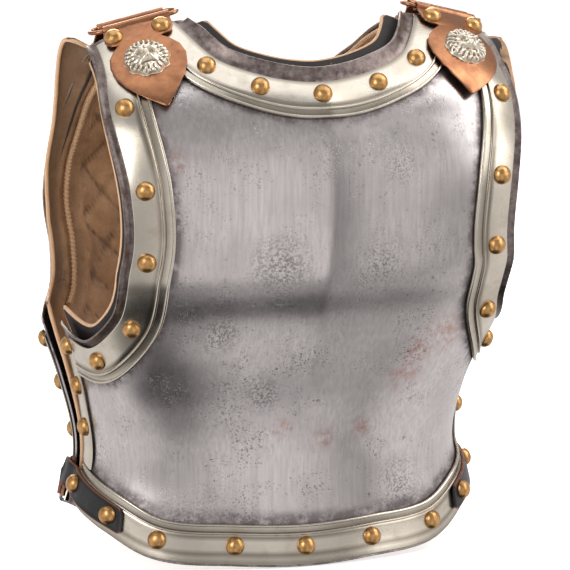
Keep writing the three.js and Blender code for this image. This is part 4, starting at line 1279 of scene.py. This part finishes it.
def ribbon(name, route, width, corners):
    """A flat strap along a route, its first end cut to a shape."""
    stations = []
    for face, turn, height in route:
        spot = waist_spot(face, turn)
        centre = raised(face, spot, height + 1.2)
        edges = [raised(face, (spot[0], spot[1] + s * width / 2), height + 1.2) for s in (-1, 1)]
        stations.append(np.array([*centre, *edges[0], *edges[1]]))
    dense = finer(np.array(stations), 9)
    first = dense[0]
    rows = []
    across = 16
    start = Vector(first[:3])
    for station in dense:
        centre, low, high = Vector(station[:3]), Vector(station[3:6]), Vector(station[6:])
        gone = (centre - start).length
        narrow = 1 - corners * max(0, 1 - gone / corners) / width * 2 if corners else 1
        row = []
        for i in range(across + 1):
            t = (2 * i / across - 1) * narrow
            point = centre + (high - centre) * t if t > 0 else centre + (low - centre) * -t
            row.append(place(point))
        rows.append(row)
    piece = grid_piece(name, rows)
    bpy.context.view_layer.update()
    polygon = piece.data.polygons[len(piece.data.polygons) // 2]
    outward = Vector((polygon.center.x, polygon.center.y, 0))
    if polygon.normal.dot(outward) < 0:
        piece.data.flip_normals()
    tooled = 0.82
    layer = piece.data.attributes.new("seam", "FLOAT", "POINT")
    values = []
    for k in range(len(rows)):
        for i in range(across + 1):
            t = abs(2 * i / across - 1)
            values.append(1.0 if abs(t - tooled) < 0.07 and k > 2 or 2 <= k <= 3 and t < 0.85 else 0.0)
    layer.data.foreach_set("value", values)
    apply_modifier(piece, "SOLIDIFY", thickness=2.4 * MM, offset=0)
    sides = piece.data.attributes.new("cut", "FLOAT", "POINT")
    cut = [0.0] * len(piece.data.vertices)
    for polygon in piece.data.polygons:
        out = Vector((polygon.center.x, polygon.center.y, 0)).normalized()
        if abs(polygon.normal.dot(out)) < 0.5:
            for vertex in polygon.vertices:
                cut[vertex] = 1.0
    sides.data.foreach_set("value", cut)
    apply_modifier(
        piece, "BEVEL", width=0.0005, segments=2, limit_method="ANGLE", angle_limit=60 * DEG
    )
    return piece


def waist_tabs():
    tab = ribbon("waist_tab_left_leather", TAB_ROUTE, 21, 3)
    finished_pair(tab, BLACK_STRAP, "waist_tab", 45)
    strap = ribbon("back_strap_left_leather", STRAP_ROUTE, 23, 5)
    finished_pair(strap, BROWN_STRAP, "back_strap", 45)


def buckles():
    """Forged buckles: a rounded frame with a prong."""
    front, rear = [raised(BACK, waist_spot(BACK, turn), 9.2) for turn in (64.2, 57)]
    along = rear - front
    length = along.length
    along.normalize()
    base = skin(BACK, waist_spot(BACK, 64.2))
    out = front - base
    out = (out - along * out.dot(along)).normalized()
    up = out.cross(along)
    middle = front.lerp(rear, 0.5)
    wide, tall, corner = length / 2, 14.4, 3.4
    points = []
    for sx, sy, begin in ((1, 1, 0), (-1, 1, 90), (-1, -1, 180), (1, -1, 270)):
        for k in range(9):
            angle = (begin + 90 * k / 8) * DEG
            x = sx * (wide - corner) + corner * math.cos(angle)
            y = sy * (tall - corner) + corner * math.sin(angle)
            points.append(middle + along * x + up * y)
    dense = []
    for i, point in enumerate(points):
        after = points[(i + 1) % len(points)]
        steps = 8 if (after - point).length > 4 else 1
        dense += [place(point.lerp(after, k / steps)) for k in range(steps)]
    frame_piece = tube("buckle_frame", dense, 1.55 * MM, 14, loop=True, up=out)
    run = []
    for k in range(25):
        t = k / 24
        bend = 1.2 + 1.6 * math.sin(math.pi * t) ** 0.8
        run.append(place(middle + along * lerp(-wide, wide + 0.8, t) + out * bend))
    prong = tube("buckle_prong", run, lambda t: (1.6 - 0.7 * smoothstep(t, 0.5, 1)) * MM, 12, up=out)
    piece = join("waist_buckle_left_iron", frame_piece, prong)
    finished_pair(piece, IRON, "waist_buckle", 60)


# ---- Linings ----
QUILT_PITCH = 30
QUILT_SLANT = 0.62
BACKING_DEPTH = 7.4
PAD_DEPTH = 8.9
PAD_PUFF = 4.6
# Where the leather curls out past an armhole: first and full level, reach and rise.
CURL = {
    ("breast", "left"): (360, 445, 17, 6),
    ("back", "left"): (380, 500, 5, 4),
    ("back", "right"): (285, 500, 21, 24),
}


def quilt(turn, level):
    """0 on the stitched lines of the diamond quilting and 1 in the middle of a diamond."""
    a, b = turn * MM_PER_DEGREE, level
    first = (a + QUILT_SLANT * b) / QUILT_PITCH
    second = (a - QUILT_SLANT * b) / QUILT_PITCH
    lines = abs(math.sin(math.pi * first)) * abs(math.sin(math.pi * second))
    return lines ** 0.45


def lining(prefix, face):
    """Black leather against the steel, and a quilted tan pad inside it with a rolled tan edge."""
    counts = (22, 8, 26, 6, 16)
    cut = LINING_EDGE if face is BREAST else BACK_LINING_EDGE
    grid = even_grid(outline(face, cut, counts))
    neck_edge = tree_through([
        place(skin(face, spot)) for spot in offset_of(face["neck"], face, cut["neck"])
    ])
    whole_edge = tree_through([place(skin(face, spot)) for spot in chain_of(grid)])
    arm_spots = offset_of(face["arm"], face, cut["arm"], 160, cut.get("ease", 0))
    panel = tree_through([place(skin(face, spot)) for spot in arm_spots])
    arm_edge = tree_through([place(raised(face, spot, -9)) for spot in arm_spots])

    def quilted_at(spot):
        """The quilting, which gives way to a plain panel along the armholes of the back."""
        if face is BREAST:
            return quilt(*spot)
        away = panel.find(place(skin(face, spot)))[2] / MM
        ridge = 0.5 * math.exp(-((away - 41) / 2.2) ** 2)
        return lerp(0.35 * smoothstep(away, 2, 20), quilt(*spot), smoothstep(away, 40.5, 42.5)) + ridge

    def drop(spot, depth, puff):
        """A point of the lining, under the steel by a depth and the pad's thickness."""
        bare = skin(face, spot)
        at = place(bare)
        lift = face["rise"]["neck"] * (1 - smoothstep(neck_edge.find(at)[2] / MM, 0, 26))
        inward = smoothstep(whole_edge.find(at)[2] / MM, 2, 14)
        pad = puff * inward * quilted_at(spot)
        return place(bare + normal_at(face, spot) * (lift - depth - pad))

    def flare(point):
        """The leather curls out round the rim of the armhole towards the shoulder."""
        side = "left" if point.x > 0 else "right"
        if (prefix, side) not in CURL:
            return point
        low, high, reach, rise = CURL[prefix, side]
        _, i, away = arm_edge.find(Vector((abs(point.x), point.y, point.z)))
        near = 1 - smoothstep(away / MM, 0, 17)
        amount = clamp((arm_spots[i][1] - low) / (high - low), 0, 1) ** 0.8 * near
        out = math.copysign(reach * amount * MM, point.x)
        return point + Vector((out, 0, rise * amount * MM))

    def sheet(name, depth, puff, spots):
        rows = [[drop(tuple(spot), depth, puff) for spot in row] for row in spots]
        for row in rows:
            row[0].x = 0
        half = grid_piece(name, rows)
        whole = merged(join(name, half, mirror_image(half, "other_half")))
        turned_out(whole, face)
        if puff or face is BREAST:
            for vertex in whole.data.vertices:
                vertex.co = flare(vertex.co)
        return whole

    hidden = {**cut, "neck": 22, "arm": 15}
    under = grid if face is BREAST else even_grid(outline(face, hidden, counts))
    backing = sheet(f"{prefix}_lining_backing", BACKING_DEPTH, 0, under)
    apply_modifier(backing, "SOLIDIFY", thickness=1.4 * MM, offset=-1)
    mark(backing, "cut", lambda p: 0.0)
    mark(backing, "seam", lambda p: 0.0)
    finished(backing, BLACK_BACKING, (), 50)
    pad = sheet(f"{prefix}_lining_pad", PAD_DEPTH, PAD_PUFF, grid)
    apply_modifier(pad, "SOLIDIFY", thickness=1.5 * MM, offset=1)
    points, stitching = [], []
    for spot in (spot for row in grid for spot in row):
        at = drop(tuple(spot), PAD_DEPTH, 0)
        points += [Vector((at.x * side, at.y, at.z)) for side in (1, -1)]
        stitching += [quilted_at(spot)] * 2
    quilted = tree_through(points)
    mark(pad, "seam", lambda p: 1 - smoothstep(stitching[quilted.find(p)[1]], 0.12, 0.42))

    def cut_edge(point):
        away = whole_edge.find(Vector((abs(point.x), point.y, point.z)))[2] / MM
        return 0.35 * (1 - smoothstep(away, 8, 14))

    mark(pad, "cut", cut_edge)
    finished(pad, TAN, (f"{prefix}_lining",), 60)
    chain = [drop(tuple(spot), 9.0, 0) for spot in chain_of(grid)]
    ring = chain + [Vector((-p.x, p.y, p.z)) for p in chain[-2:0:-1]]
    ring = smooth_ring([flare(point) for point in ring], 2)
    piping = tube(f"{prefix}_lining_piping", ring, 1.7 * MM, 12, loop=True)
    mark(piping, "cut", lambda p: 1.0)
    mark(piping, "seam", lambda p: 0.0)
    finished(piping, TAN, (), 60)


def smooth_ring(points, rounds):
    for _ in range(rounds):
        points = [
            (points[i - 1] + point * 2 + points[(i + 1) % len(points)]) / 4 for i, point in enumerate(points)
        ]
    return points


def whipped_seam():
    """The corded seam down the back lining beside each armhole, whipped with waxed thread."""
    line = offset_of(BACK["arm"], BACK, 4, 160)
    line = [spot for spot in keep_below(line, 1, 505) if spot[1] > 196]
    centre = [place(raised(BACK, spot, -13.4)) for spot in respace(BACK, line, 120)]
    cord = tube("whipped_seam_left", centre, 1.9 * MM, 12)
    mark(cord, "cut", lambda p: 0.5)
    mark(cord, "seam", lambda p: 0.0)
    turns = 76
    helix = []
    for k in range(turns * 10):
        at = k / (turns * 10 - 1) * (len(centre) - 1)
        i = min(int(at), len(centre) - 2)
        point = centre[i].lerp(centre[i + 1], at - i)
        along = (centre[i + 1] - centre[i]).normalized()
        side = along.cross(Vector((0, 0, 1)).cross(along)).normalized()
        other = along.cross(side)
        angle = 2 * math.pi * k / 10
        helix.append(point + side * (2.2 * MM * math.cos(angle)) + other * (2.2 * MM * math.sin(angle)))
    thread = tube("whipped_thread_left", helix, 0.5 * MM, 5)
    for piece, material in ((cord, TAN), (thread, THREAD)):
        finished_pair(piece, material, None, 60)


# ---- Making the cuirass ----
for prefix, face in (("breast", BREAST), ("back", BACK)):
    shell = plate(f"{prefix}_plate", face, f"{prefix}_shell")
    paint_rims(shell, face)
    borders(prefix, face, BEADED if face is BREAST else PLAIN)
    side_strip(prefix, face)
    lining(prefix, face)
whipped_seam()
all_rivets()
plaque("shoulder_plaque_leaf", BREAST, FRONT, LEAF, "shoulder_plaque")
plaque("back_plaque_tongue", BACK, REAR, TONGUE, "back_plaque")
shoulder_links()
lion_masks()
waist_tabs()
buckles()


# ---- Studio ----
LENS = 252.6
EYE = Vector((-0.9980, -3.0958, 0.7732))
LOOKS_AT = Vector((-0.0232, -0.0956, 0.2362))


def softbox(name, location, target, size, energy, tint=(1, 1, 1)):
    data = bpy.data.lights.new(name, "AREA")
    data.shape = "RECTANGLE"
    data.size, data.size_y = size
    data.energy = energy
    data.color = tint
    lamp = bpy.data.objects.new(name, data)
    lamp.location = location
    lamp.rotation_euler = (Vector(target) - Vector(location)).to_track_quat("-Z", "Y").to_euler()
    bpy.context.collection.objects.link(lamp)


def studio():
    """A white room: soft lamps, a pale floor, and dark and light walls for the metal to reflect."""
    world = bpy.data.worlds.new("studio_air")
    world.use_nodes = True
    bpy.context.scene.world = world
    tree = world.node_tree
    air = Patterns(tree, "Generated")
    height = air.height_of("Z")
    shadow = air.reach(height, -0.87, -0.79, (0.04, 1.0))
    upper = air.reach(height, 0.0, 0.6, (1.0, 0.5))
    around = air.math("ARCTAN2", air.height_of("X"), air.math("MULTIPLY", air.height_of("Y"), -1.0))
    right_gap = air.math("MULTIPLY", air.reach(around, 0.47, 0.52), air.reach(around, 0.86, 0.76))
    left_gap = air.math("MULTIPLY", air.reach(around, -0.15, -0.35), air.reach(around, -1.0, -0.8))
    room = air.both(air.both(shadow, upper), air.reach(right_gap, 0, 1, (1.0, 0.42)))
    room = air.both(room, air.reach(left_gap, 0, 1, (1.0, 0.62)))
    seen = air.node("ShaderNodeLightPath").outputs["Is Camera Ray"]
    background = tree.nodes["Background"]
    air.feed(background.inputs["Color"], air.mix(seen, (1.0, 0.965, 0.945), (1.0, 1.0, 1.0)))
    air.feed(background.inputs["Strength"], air.math("MAXIMUM", air.both(room, 0.9), seen))
    bpy.context.scene.view_settings.view_transform = "Standard"
    bpy.ops.object.select_all(action="DESELECT")
    bpy.ops.mesh.primitive_plane_add(size=14, location=(0, 0, -0.0005))
    floor = bpy.context.object
    floor.name = floor.data.name = "studio_floor"
    floor.visible_glossy = False
    paper = Finish("white_paper", 0.9)
    paper.shader.inputs["Specular IOR Level"].default_value = 0.1
    paper.shader.inputs["Emission Color"].default_value = (1, 1, 1, 1)
    paper.shader.inputs["Emission Strength"].default_value = 0.62
    tone = paper.mix(paper.noise(3), (0.93, 0.93, 0.93), (0.95, 0.95, 0.95))
    floor.data.materials.append(paper.coat(tone))
    softbox("left_softbox", (-1.9, -1.7, 1.2), (0, 0, 0.25), (1.1, 1.7), 26, (1, 0.98, 0.95))
    softbox("right_softbox", (2.0, -1.5, 1.1), (0, 0, 0.25), (1.4, 1.8), 15, (1, 0.98, 0.95))
    softbox("right_high_softbox", (1.5, -0.4, 1.9), (0.1, 0, 0.4), (1.2, 1.2), 16, (1, 0.97, 0.93))
    softbox("top_softbox", (0, 0.1, 2.4), (0, 0, 0.2), (2.4, 2.0), 17)
    softbox("rear_softbox", (0.4, 2.2, 1.4), (0, 0, 0.3), (1.6, 1.4), 34)


def camera():
    data = bpy.data.cameras.new("camera")
    data.lens = LENS
    data.sensor_width = 36
    data.dof.use_dof = False
    eye = bpy.data.objects.new("camera", data)
    eye.location = EYE
    eye.rotation_euler = (LOOKS_AT - EYE).to_track_quat("-Z", "Y").to_euler()
    bpy.context.collection.objects.link(eye)
    bpy.context.scene.camera = eye


studio()
camera()
